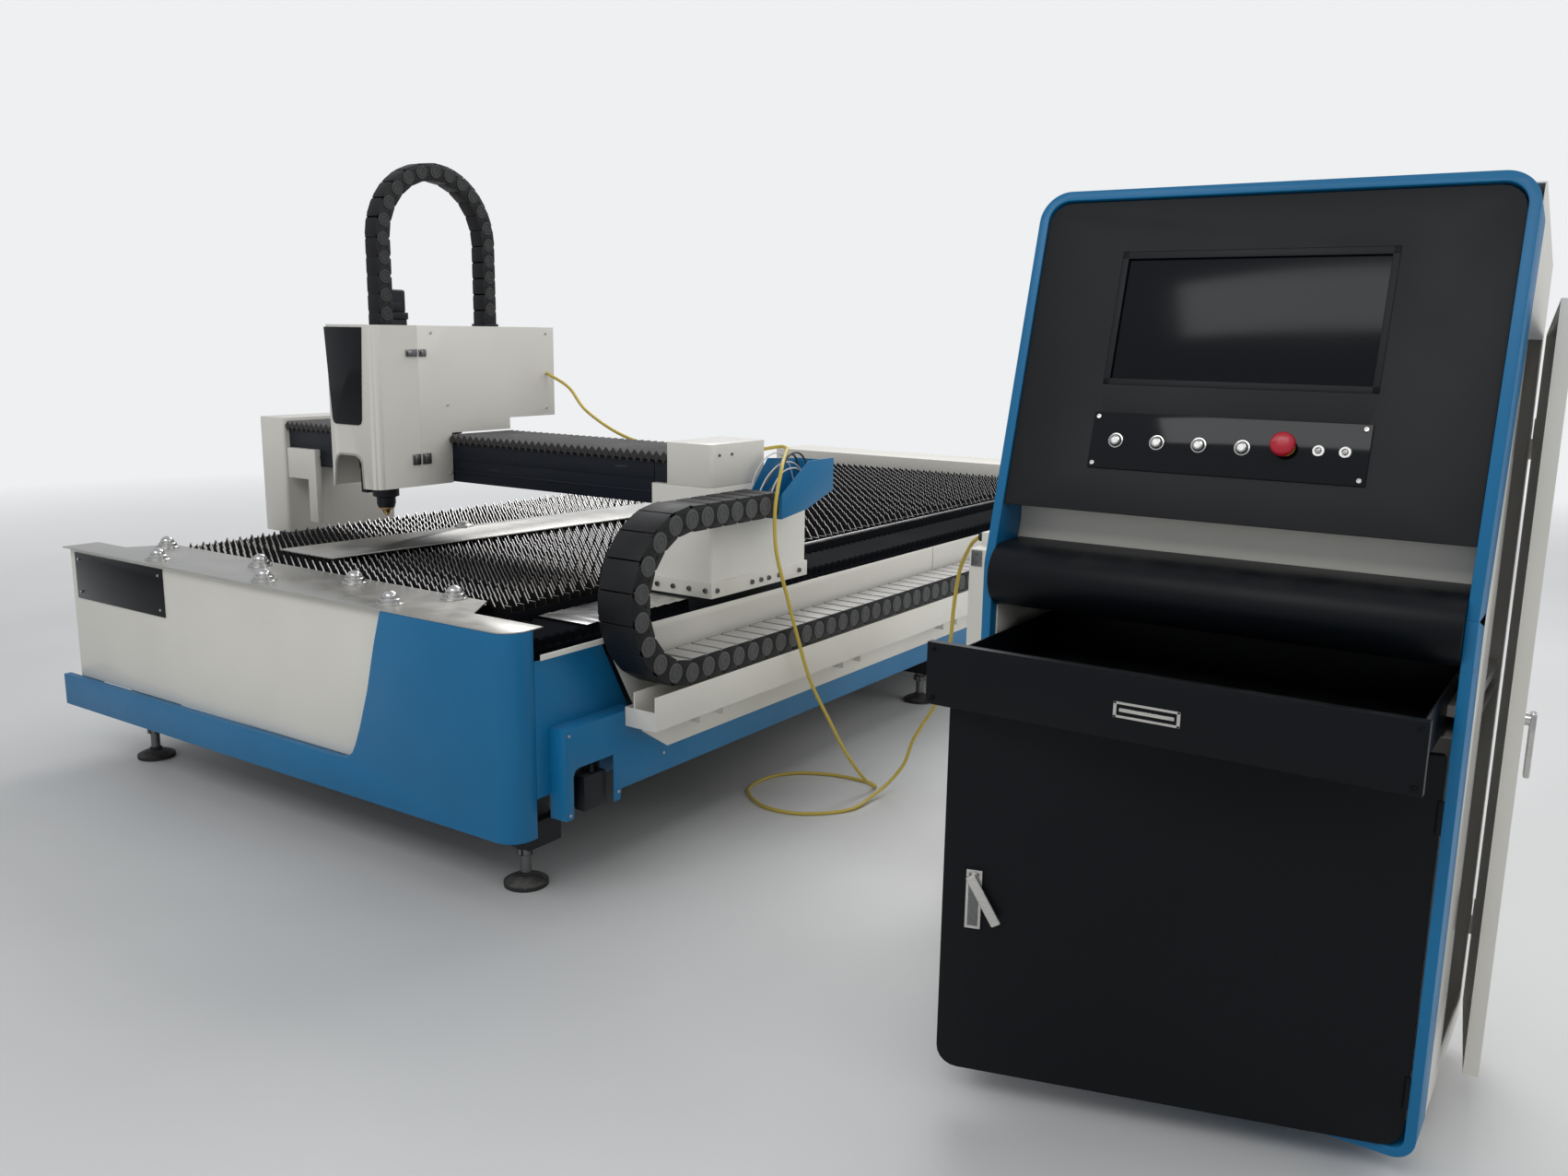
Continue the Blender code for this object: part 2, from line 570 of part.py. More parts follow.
def finish_material(finish):
    colour, roughness, metallic = FINISHES[finish]
    material = bpy.data.materials.get(finish) or bpy.data.materials.new(finish)
    material.use_nodes = True
    shader = material.node_tree.nodes["Principled BSDF"]
    shader.inputs["Base Color"].default_value = (*colour, 1.0)
    shader.inputs["Roughness"].default_value = roughness
    shader.inputs["Metallic"].default_value = metallic
    material.diffuse_color = (*colour, 1.0)
    return material


def dress(made, finish):
    made.data.materials.clear()
    made.data.materials.append(finish_material(finish))
    made.data.shade_smooth()
    made.data.set_sharp_from_angle(angle=SHARP_ANGLE)
    return made


def piece(name, finish, first, steps=()):
    """Make one node from a first solid and the solids that are joined to it, cut or kept in it."""
    made = make_object(name, first)
    tools = []
    for operation, solid in steps:
        tool = make_object(name + "_shape", solid)
        tool.hide_render = True
        tool.display_type = "WIRE"
        modifier = made.modifiers.new(operation, "BOOLEAN")
        modifier.operation = operation
        modifier.solver = "EXACT"
        modifier.object = tool
        tools.append(tool)
    if tools:
        bpy.context.view_layer.update()
        shaped = made.evaluated_get(bpy.context.evaluated_depsgraph_get())
        mesh = bpy.data.meshes.new_from_object(shaped)
        made.modifiers.clear()
        made.data = mesh
        mesh.name = name
        for tool in tools:
            bpy.data.objects.remove(tool, do_unlink=True)
    return dress(made, finish)


def joined(*solids):
    return [("UNION", solid) for solid in solids]


def cut(*solids):
    return [("DIFFERENCE", solid) for solid in solids]


def joint(name, position, pieces):
    """Hang pieces on an empty that stands on the axis they move about."""
    empty = bpy.data.objects.new(name, None)
    bpy.context.scene.collection.objects.link(empty)
    empty.location = Vector(position) - ORIGIN
    bpy.context.view_layer.update()
    for made in pieces:
        made.parent = empty
        made.matrix_parent_inverse = empty.matrix_world.inverted()
    return empty


def rounded_outline(span_x, span_z, low_radius, top_radius):
    """Outline of an upright rectangle whose lower and upper corners have their own radius."""
    left, right = span_x
    low, top = span_z
    outline = []
    for centre, radius, start in (
            ((right - low_radius, low + low_radius), low_radius, -QUARTER_TURN),
            ((right - top_radius, top - top_radius), top_radius, 0),
            ((left + top_radius, top - top_radius), top_radius, QUARTER_TURN),
            ((left + low_radius, low + low_radius), low_radius, 2 * QUARTER_TURN)):
        outline += arc(centre, radius, start, start + QUARTER_TURN, CORNER_STEPS)
    return outline


def smooth_route(route, count):
    """Read a set number of even points from a smooth curve through the points of a route."""
    points = [Vector(point) for point in route]
    points = [2 * points[0] - points[1]] + points + [2 * points[-1] - points[-2]]
    dense = []
    fine_steps = 20
    for index in range(1, len(points) - 2):
        before, start, end, after = points[index - 1:index + 3]
        for step in range(fine_steps):
            share = step / fine_steps
            dense.append(HALF_SHARE * (2 * start + (end - before) * share
                                 + (2 * before - 5 * start + 4 * end - after) * share ** 2
                                 + (3 * start - before - 3 * end + after) * share ** 3))
    dense.append(points[-2])
    lengths = [0.0]
    for first, second in zip(dense, dense[1:]):
        lengths.append(lengths[-1] + (second - first).length)
    even = []
    index = 0
    for number in range(count):
        target = lengths[-1] * number / (count - 1)
        while index < len(lengths) - 2 and lengths[index + 1] < target:
            index += 1
        share = (target - lengths[index]) / (lengths[index + 1] - lengths[index])
        even.append(dense[index].lerp(dense[index + 1], share))
    return even


def cord(name, finish, route, count):
    curve = bpy.data.curves.new(name, "CURVE")
    curve.dimensions = "3D"
    curve.bevel_depth = CABLE_RADIUS
    curve.bevel_resolution = CABLE_SIDES
    curve.use_fill_caps = True
    spline = curve.splines.new("POLY")
    spline.points.add(count - 1)
    for knot, point in zip(spline.points, smooth_route(route, count)):
        knot.co = (*(point - ORIGIN), 1.0)
    made = bpy.data.objects.new(name, curve)
    bpy.context.scene.collection.objects.link(made)
    curve.materials.append(finish_material(finish))
    return made


def build_bed_frame():
    beams = [block(BEAM_X, BEAM_Y, BEAM_Z), block(mirrored_span(BEAM_X), BEAM_Y, BEAM_Z)]
    inner = BEAM_X[0] + OVERLAP
    crosses = [block((-inner, inner), rows, CROSS_Z) for rows in CROSS_ROWS_Y]
    ledges = [block(LEDGE_X, LEDGE_Y, LEDGE_Z), block(mirrored_span(LEDGE_X), LEDGE_Y, LEDGE_Z)]
    extras = []
    posts = []
    outer = BEAM_X[1] - OVERLAP
    for number, rows in enumerate(OUTRIGGER_ROWS_Y):
        right_end = BLUE_SIDE_X[0] if number == 0 else WALL_X[0]
        extras.append(block((outer, right_end - GAP), rows, OUTRIGGER_Z))
        extras.append(block((GAP - BLUE_SIDE_X[0], -outer), rows, OUTRIGGER_Z))
    for span in FRONT_BRACKET_X:
        extras.append(block(span, (PANEL_Y[1] + GAP, BEAM_Y[0] + OVERLAP), FRONT_BRACKET_Z))
    for side in (-1, 1):
        for row in FOOT_ROWS_Y:
            centre = (side * HALF_SHARE * FOOT_SPREAD_X, row)
            extras.append(block((centre[0] - BRACKET_HALF[0], centre[0] + BRACKET_HALF[0]),
                                (centre[1] - BRACKET_HALF[1], centre[1] + BRACKET_HALF[1]),
                                BRACKET_Z))
            posts.append(block((centre[0] - FOOT_POST_HALF, centre[0] + FOOT_POST_HALF),
                               (centre[1] - FOOT_POST_HALF, centre[1] + FOOT_POST_HALF),
                               (BRACKET_Z[1] - OVERLAP, BEAM_Z[0] + OVERLAP)))
    feet = [turned(FOOT_PROFILE, (side * HALF_SHARE * FOOT_SPREAD_X, row), FOOT_SIDES)
            for side in (-1, 1) for row in FOOT_ROWS_Y]
    piece("bed_frame", "black", beams[0],
          joined(*crosses[:1], beams[1], gathered(crosses[1:]), gathered(ledges),
                 gathered(posts), gathered(extras), gathered(feet)))


def build_front():
    piece("front_panel", "cream",
          block((-FRONT_HALF_WIDTH, PANEL_RIGHT), PANEL_Y, PANEL_Z))
    corner = FRONT_HALF_WIDTH - SHELL_CORNER_RADIUS
    outline = [(SKIRT_LEFT, SHELL_LOW), (corner, SHELL_LOW), (corner, SHELL_TOP), *SWOOSH,
               (SKIRT_LEFT, SKIRT_TOP)]
    inner_radius = SHELL_CORNER_RADIUS - SHELL_DEPTH
    centre = (corner, SHELL_CORNER_RADIUS)
    bend = ([(corner - OVERLAP, 0)]
            + arc(centre, SHELL_CORNER_RADIUS, -QUARTER_TURN, 0, CORNER_STEPS)
            + [(FRONT_HALF_WIDTH, SHELL_RETURN_Y), (FRONT_HALF_WIDTH - SHELL_DEPTH, SHELL_RETURN_Y)]
            + arc(centre, inner_radius, 0, -QUARTER_TURN, CORNER_STEPS)
            + [(corner - OVERLAP, SHELL_DEPTH)])
    left_return = block(LEFT_RETURN_X, (SHELL_DEPTH - OVERLAP, SHELL_RETURN_Y),
                        (SHELL_LOW, SKIRT_TOP))
    piece("front_shell", "blue", prism(outline, (0, SHELL_DEPTH), "y"),
          joined(prism(bend, (SHELL_LOW, SHELL_TOP), "z"), left_return))
    screws = []
    for x in (NAMEPLATE_X[0] + NAMEPLATE_SCREW_INSET, NAMEPLATE_X[1] - NAMEPLATE_SCREW_INSET):
        for z in (NAMEPLATE_Z[0] + NAMEPLATE_SCREW_INSET, NAMEPLATE_Z[1] - NAMEPLATE_SCREW_INSET):
            screws.append(bar((x, z), NAMEPLATE_SCREW_RADIUS,
                              (NAMEPLATE_Y[0] - NAMEPLATE_SCREW_RISE, NAMEPLATE_Y[0] + OVERLAP),
                              "y", BALL_SIDES))
    piece("nameplate", "black", block(NAMEPLATE_X, NAMEPLATE_Y, NAMEPLATE_Z),
          joined(gathered(screws)))
    plate = ([(-FRONT_HALF_WIDTH, 0), (corner, 0)]
             + arc(centre, SHELL_CORNER_RADIUS, -QUARTER_TURN, 0, CORNER_STEPS)[1:]
             + [(FRONT_HALF_WIDTH, PLATE_SIDE_Y), *PLATE_REAR, (-FRONT_HALF_WIDTH, PLATE_SIDE_Y)])
    balls = [turned(BALL_PROFILE, centre, BALL_SIDES, PLATE_Z[1]) for centre in BALL_UNITS]
    piece("front_plate", "stainless", prism(plate, PLATE_Z, "z"), joined(gathered(balls)))


def build_sides():
    piece("side_panel_blue", "blue", prism(BLUE_SIDE_OUTLINE, BLUE_SIDE_X, "x"))
    piece("side_panel_white", "cream", prism(WALL_OUTLINE, WALL_X, "x"),
          joined(block(WALL_FLANGE_X, WALL_FLANGE_Y, WALL_FLANGE_Z),
                 prism(APRON_OUTLINE, APRON_X, "x")))
    piece("side_skirt", "blue",
          prism(SIDE_SKIRT_OUTLINE, (SIDE_SKIRT_X[1] - SHEET, SIDE_SKIRT_X[1]), "x"),
          joined(block(SIDE_SKIRT_X, SIDE_SKIRT_FLANGE_Y, SIDE_SKIRT_FLANGE_Z),
                 block(SIDE_SKIRT_X, SIDE_SKIRT_END_Y, SIDE_SKIRT_END_Z)))
    outer_x, outer_top = TROUGH_OUTER_WALL
    inner_x, inner_top = TROUGH_INNER_WALL
    floor_low, floor_top = TROUGH_FLOOR_Z
    end_y = (TROUGH_Y[0], TROUGH_Y[0] + SHEET)
    piece("cable_trough", "cream", block(TROUGH_X, TROUGH_Y, TROUGH_FLOOR_Z),
          joined(block((outer_x, TROUGH_X[1]), TROUGH_Y, (floor_low, outer_top)),
                 block((TROUGH_X[0], inner_x), TROUGH_Y, (floor_low, inner_top)),
                 block(TROUGH_RIB_X, TROUGH_Y, (floor_top - OVERLAP, TROUGH_RIB_TOP)),
                 block(TROUGH_X, end_y, (floor_low, inner_top))))
    left_x = mirrored_span(BLUE_SIDE_X)
    piece("left_side_panel", "cream", prism(LEFT_PANEL_OUTLINE, left_x, "x"))
    flange_z = (LEFT_SKIRT_Z[1] - SHEET, LEFT_SKIRT_Z[1])
    end_y = (LEFT_SKIRT_Y[0], LEFT_SKIRT_Y[0] + SHEET)
    piece("left_skirt", "blue",
          block((LEFT_SKIRT_X[0], LEFT_SKIRT_X[0] + SHEET), LEFT_SKIRT_Y, LEFT_SKIRT_Z),
          joined(block(LEFT_SKIRT_X, LEFT_SKIRT_Y, flange_z),
                 block(LEFT_SKIRT_X, end_y, LEFT_SKIRT_Z)))
    low, top = REAR_TOP_Z
    piece("rear_cover", "cream",
          block((-FRONT_HALF_WIDTH + SHEET + GAP, FRONT_HALF_WIDTH - SHEET - GAP), REAR_PANEL_Y,
                REAR_PANEL_Z),
          joined(block(REAR_TOP_X, REAR_TOP_Y, REAR_TOP_Z))
          + cut(block((REAR_TOP_X[0] + SHEET, REAR_TOP_X[1] - SHEET),
                      (REAR_TOP_Y[0] + SHEET, REAR_PANEL_Y[0]), (low - REACH, top - SHEET)),
                block((REAR_TOP_X[0] + SHEET, REAR_TOP_X[1] - SHEET),
                      (REAR_PANEL_Y[1], REAR_TOP_Y[1] - SHEET), (low - REACH, top - SHEET))))


def build_table():
    reach = SLAT_HALF_WIDTH - SLAT_END_WIDTH
    tooth = 2 * reach / SLAT_TEETH
    outline = [(SLAT_HALF_WIDTH, SLAT_LOW), (SLAT_HALF_WIDTH, SLAT_END_TOP),
               (reach, SLAT_END_TOP), (reach, SLAT_ROOT)]
    for number in range(SLAT_TEETH):
        right = reach - number * tooth
        outline.append((right - HALF_SHARE * tooth, SLAT_TIP))
        outline.append((right - tooth, SLAT_ROOT))
    outline += [(-reach, SLAT_END_TOP), (-SLAT_HALF_WIDTH, SLAT_END_TOP),
                (-SLAT_HALF_WIDTH, SLAT_LOW)]
    slats = []
    for number in range(SLAT_COUNT):
        front = SLAT_FIRST_Y + number * SLAT_PITCH
        slats.append(prism(outline, (front, front + SLAT_THICKNESS), "y"))
    bars = [block(TABLE_BAR_X, TABLE_BAR_Y, TABLE_BAR_Z),
            block(mirrored_span(TABLE_BAR_X), TABLE_BAR_Y, TABLE_BAR_Z)]
    piece("slat_grid", "steel", gathered(slats), joined(gathered(bars)))
    knob = turned(KNOB_PROFILE, STRIP_KNOB, KNOB_SIDES, STRIP_Z[1])
    piece("table_strip", "stainless", prism(STRIP_OUTLINE, STRIP_Z, "z"), joined(knob))
    inside = [(low + SHEET, high - SHEET) for low, high in (SLAG_TRAY_X, SLAG_TRAY_Y)]
    piece("slag_tray", "steel", block(SLAG_TRAY_X, SLAG_TRAY_Y, SLAG_TRAY_Z),
          cut(block(inside[0], inside[1], (SLAG_TRAY_Z[0] + SHEET, SLAG_TRAY_Z[1] + REACH))))


def bellows(span_y, folds):
    """Pleated cover that is open below: an upside-down U whose wall goes in and out."""
    rings = []
    count = 2 * folds
    for step in range(count + 1):
        y = span_y[0] + (span_y[1] - span_y[0]) * step / count
        fold = BELLOWS_FOLD if step % 2 else 0
        left, right = BELLOWS_X[0] + fold, BELLOWS_X[1] - fold
        low, top = BELLOWS_Z[0], BELLOWS_Z[1] - fold
        inner_left, inner_right = left + BELLOWS_WALL, right - BELLOWS_WALL
        inner_top = top - BELLOWS_WALL
        rings.append([(left, y, low), (left, y, top), (right, y, top), (right, y, low),
                      (inner_right, y, low), (inner_right, y, inner_top),
                      (inner_left, y, inner_top), (inner_left, y, low)])
    return swept(rings)


def build_rails():
    foot = block(RAIL_X, RAIL_Y, RAIL_Z)
    head = block(RAIL_HEAD_X, RAIL_Y, RAIL_HEAD_Z)
    piece("rail_right", "stainless", foot, joined(head))
    piece("rail_left", "stainless", mirrored(foot), joined(mirrored(head)))
    front = bellows((FRONT_BELLOWS_Y[0], FRONT_BELLOWS_Y[1]), FRONT_BELLOWS_FOLDS)
    rear = bellows((REAR_BELLOWS_Y[0], REAR_BELLOWS_Y[1]), REAR_BELLOWS_FOLDS)
    piece("bellows_right_front", "black", front)
    piece("bellows_right_rear", "black", rear)
    piece("bellows_left_front", "black", mirrored(front))
    piece("bellows_left_rear", "black", mirrored(rear))


def pleated_cover(span_x, folds):
    rings = []
    count = 2 * folds
    for step in range(count + 1):
        x = span_x[0] + (span_x[1] - span_x[0]) * step / count
        top = COVER_VALLEY if step % 2 else COVER_RIDGE
        rings.append([(x, COVER_Y[0], COVER_LOW), (x, COVER_Y[1], COVER_LOW),
                      (x, COVER_Y[1], top), (x, COVER_Y[0], top)])
    return swept(rings)


def rounded_box(span_x, span_y, span_z, radius):
    """Box with its four upright edges rounded."""
    outline = rounded_outline(span_x, span_y, radius, radius)
    return prism(outline, span_z, "z")


def build_gantry():
    lower = block((BEAM_LEFT, BEAM_RIGHT), GANTRY_BEAM_Y, GANTRY_BEAM_Z)
    upper = block((BEAM_RIGHT - OVERLAP, BEAM_TOP_RIGHT), GANTRY_BEAM_Y,
                  (GANTRY_NOTCH_Z, GANTRY_BEAM_Z[1]))
    made = [piece("gantry_beam", "black", lower, joined(upper))]
    left_span = (BEAM_LEFT, HEAD_X[0] - GAP)
    right_span = (HEAD_X[1] + GAP, BEAM_TOP_RIGHT)
    made.append(piece("beam_cover_left", "black", pleated_cover(
        left_span, round((left_span[1] - left_span[0]) / COVER_PITCH))))
    made.append(piece("beam_cover_right", "black", pleated_cover(
        right_span, round((right_span[1] - right_span[0]) / COVER_PITCH))))
    made.append(piece("end_box_right", "cream",
                      rounded_box(END_BOX_X, END_BOX_Y, END_BOX_Z, END_CORNER_RADIUS)))
    made.append(piece("end_foot_right", "cream",
                      rounded_box(END_FOOT_X, END_FOOT_Y, END_FOOT_Z, END_CORNER_RADIUS),
                      joined(block(END_FLANGE_X, END_FLANGE_Y, END_FLANGE_Z))))
    made.append(piece("end_box_left", "cream",
                      rounded_box(LEFT_COLUMN_X, END_FOOT_Y, LEFT_COLUMN_Z, END_CORNER_RADIUS)))
    made.append(piece("end_bracket_left", "cream",
                      prism(LEFT_BRACKET_OUTLINE, LEFT_BRACKET_Y, "y")))
    guard = block(GUARD_X, GUARD_Y, GUARD_Z)
    cheek = block(GUARD_CHEEK_X, GUARD_Y, (GUARD_CHEEK_LOW, GUARD_Z[1]))
    made.append(piece("foot_guard_right", "black", guard, joined(cheek)))
    made.append(piece("foot_guard_left", "black", mirrored(guard), joined(mirrored(cheek))))
    made.append(piece("chain_tray", "blue", prism(TRAY_OUTER_OUTLINE, TRAY_OUTER_X, "x"),
                      joined(prism(TRAY_FLOOR_OUTLINE, TRAY_SPAN_X, "x"),
                             prism(TRAY_INNER_OUTLINE, TRAY_INNER_X, "x"),
                             block(TRAY_SPAN_X, TRAY_REAR_Y, TRAY_REAR_Z))))
    return made


def chain_run(span_y, low):
    walls = block(CHAIN_X, span_y, (low, low + CHAIN_HEIGHT))
    hollow = block((CHAIN_X[0] + CHAIN_WALL, CHAIN_X[1] - CHAIN_WALL),
                   (span_y[0] - REACH, span_y[1] + REACH),
                   (low + CHAIN_WALL, low + CHAIN_HEIGHT - CHAIN_WALL))
    return walls, cut(hollow)


def bent_strip(centre, outer, inner, start, end, steps, span_x):
    """Solid half ring in a plane across X."""
    outline = (arc(centre, outer, start, end, steps)
               + list(reversed(arc(centre, inner, start, end, steps))))
    return prism(outline, span_x, "x")


def build_side_chain():
    low = CHAIN_LOW
    centre = (CHAIN_BEND_Y, low + CHAIN_OUTER_RADIUS)
    upper_low = low + 2 * CHAIN_OUTER_RADIUS - CHAIN_HEIGHT
    walls, steps = chain_run((CHAIN_BEND_Y + GAP, CHAIN_FIXED_END_Y), low)
    piece("side_chain_lower", "chain", walls, steps)
    walls, steps = chain_run((CHAIN_BEND_Y + GAP, CHAIN_TRAY_END_Y), upper_low)
    upper = piece("side_chain_upper", "chain", walls, steps)
    inner_radius = CHAIN_OUTER_RADIUS - CHAIN_HEIGHT
    ring = bent_strip(centre, CHAIN_OUTER_RADIUS, inner_radius, QUARTER_TURN, 3 * QUARTER_TURN,
                      CHAIN_BEND_STEPS, CHAIN_X)
    hollow_x = (CHAIN_X[0] + CHAIN_WALL, CHAIN_X[1] - CHAIN_WALL)
    hollow = bent_strip(centre, CHAIN_OUTER_RADIUS - CHAIN_WALL, inner_radius + CHAIN_WALL,
                        QUARTER_TURN, 3 * QUARTER_TURN, CHAIN_BEND_STEPS, hollow_x)
    ends = block(hollow_x, (CHAIN_BEND_Y - OVERLAP, CHAIN_BEND_Y + REACH),
                 (upper_low + CHAIN_WALL, upper_low + CHAIN_HEIGHT - CHAIN_WALL))
    low_ends = block(hollow_x, (CHAIN_BEND_Y - OVERLAP, CHAIN_BEND_Y + REACH),
                     (low + CHAIN_WALL, low + CHAIN_HEIGHT - CHAIN_WALL))
    bend = piece("side_chain_bend", "chain", ring, cut(hollow, ends, low_ends))
    return upper, bend


def build_carriage():
    housing = prism(HEAD_OUTLINE, HEAD_X, "x")
    inside_x = (HEAD_X[0] + SHEET, HEAD_X[1] - SHEET)
    slot = block(CARRIAGE_SLOT_X, (CARRIAGE_PLATE_Y[0], HEAD_OUTLINE[1][0] + REACH),
                 CARRIAGE_SLOT_Z)
    made = [piece("head_housing", "cream", housing,
                  cut(prism(HEAD_CAVITY_OUTLINE, inside_x, "x"), slot))]
    made.append(piece("carriage_plate", "steel",
                      block(CARRIAGE_PLATE_X, CARRIAGE_PLATE_Y, CARRIAGE_PLATE_Z),
                      joined(block(COLUMN_X, COLUMN_Y, COLUMN_Z),
                             block(CARRIAGE_SHOE_X, CARRIAGE_SHOE_Y, CARRIAGE_SHOE_Z),
                             block(MOTOR_SEAT_X, MOTOR_SEAT_Y, MOTOR_SEAT_Z))))
    made.append(piece("z_motor", "black", block(MOTOR_X, MOTOR_Y, MOTOR_Z)))
    centre_y, centre_z = ARCH_CHAIN_CENTRE
    inner = ARCH_CHAIN_OUTER - ARCH_CHAIN_HEIGHT
    outline = (arc(ARCH_CHAIN_CENTRE, ARCH_CHAIN_OUTER, 0, 2 * QUARTER_TURN, ARCH_CHAIN_STEPS)
               + [(centre_y - ARCH_CHAIN_OUTER, ARCH_CHAIN_NEAR_LOW),
                  (centre_y - inner, ARCH_CHAIN_NEAR_LOW)]
               + arc(ARCH_CHAIN_CENTRE, inner, 2 * QUARTER_TURN, 0, ARCH_CHAIN_STEPS)
               + [(centre_y + inner, ARCH_CHAIN_FAR_LOW),
                  (centre_y + ARCH_CHAIN_OUTER, ARCH_CHAIN_FAR_LOW)])
    wall = ARCH_CHAIN_WALL
    near_open = ARCH_CHAIN_NEAR_LOW - REACH
    far_open = ARCH_CHAIN_FAR_LOW - REACH
    hollow = (arc(ARCH_CHAIN_CENTRE, ARCH_CHAIN_OUTER - wall, 0, 2 * QUARTER_TURN,
                  ARCH_CHAIN_STEPS)
              + [(centre_y - ARCH_CHAIN_OUTER + wall, near_open),
                 (centre_y - inner - wall, near_open)]
              + arc(ARCH_CHAIN_CENTRE, inner + wall, 2 * QUARTER_TURN, 0, ARCH_CHAIN_STEPS)
              + [(centre_y + inner + wall, far_open),
                 (centre_y + ARCH_CHAIN_OUTER - wall, far_open)])
    hollow_x = (ARCH_CHAIN_X[0] + wall, ARCH_CHAIN_X[1] - wall)
    made.append(piece("head_chain", "chain", prism(outline, ARCH_CHAIN_X, "x"),
                      cut(prism(hollow, hollow_x, "x"))
                      + joined(block(ARCH_BRACKET_X, ARCH_BRACKET_Y, ARCH_BRACKET_Z))))
    return made


def build_head_cover():
    left, right = HEAD_X
    radius = COVER_CORNER_RADIUS
    inner = radius - SHEET
    left_centre = (left + radius, COVER_FRONT_Y + radius)
    right_centre = (right - radius, COVER_FRONT_Y + radius)
    outline = ([(left, HEAD_SPLIT_Y)]
               + arc(left_centre, radius, 2 * QUARTER_TURN, 3 * QUARTER_TURN, CORNER_STEPS)
               + arc(right_centre, radius, 3 * QUARTER_TURN, 4 * QUARTER_TURN, CORNER_STEPS)
               + [(right, HEAD_SPLIT_Y), (right - SHEET, HEAD_SPLIT_Y)]
               + arc(right_centre, inner, 4 * QUARTER_TURN, 3 * QUARTER_TURN, CORNER_STEPS)
               + arc(left_centre, inner, 3 * QUARTER_TURN, 2 * QUARTER_TURN, CORNER_STEPS)
               + [(left + SHEET, HEAD_SPLIT_Y)])
    lip = ([(left + OVERLAP, COVER_LIP_Y)]
           + arc(left_centre, radius - OVERLAP, 2 * QUARTER_TURN, 3 * QUARTER_TURN, CORNER_STEPS)
           + arc(right_centre, radius - OVERLAP, 3 * QUARTER_TURN, 4 * QUARTER_TURN, CORNER_STEPS)
           + [(right - OVERLAP, COVER_LIP_Y)])
    cover = piece("head_cover", "cream", prism(outline, COVER_Z, "z"),
                  joined(prism(lip, COVER_LIP_Z, "z"))
                  + cut(prism(ARCH_OUTLINE, (COVER_FRONT_Y - REACH, COVER_FRONT_Y + REACH), "y")))
    window_y = (COVER_FRONT_Y - GAP - WINDOW_THICKNESS, COVER_FRONT_Y - GAP)
    window = piece("head_window", "screen", prism(WINDOW_OUTLINE, window_y, "y"))
    return cover, window


def build_cutting_head():
    return piece("cutting_head", "steel", block(CUTTER_BLOCK_X, CUTTER_BLOCK_Y, CUTTER_BLOCK_Z),
                 joined(block(CUTTER_SLIDE_X, CUTTER_SLIDE_Y, CUTTER_SLIDE_Z),
                        turned(NOZZLE_PROFILE, NOZZLE_CENTRE, NOZZLE_SIDES),
                        block(SENSOR_X, SENSOR_Y, SENSOR_Z)))


def front_line(z):
    """Distance of the console's front from the bed's front face at a height."""
    return CONSOLE_FRONT_Y + max(0, z - CONSOLE_WAIST) * math.tan(CONSOLE_TILT)


def fascia_frame():
    """Frame of the leaning fascia: Z runs up along it from the waist, Y goes inward."""
    return (Matrix.Translation((0, CONSOLE_FRONT_Y, CONSOLE_WAIST))
            @ Matrix.Rotation(-CONSOLE_TILT, 4, "X"))


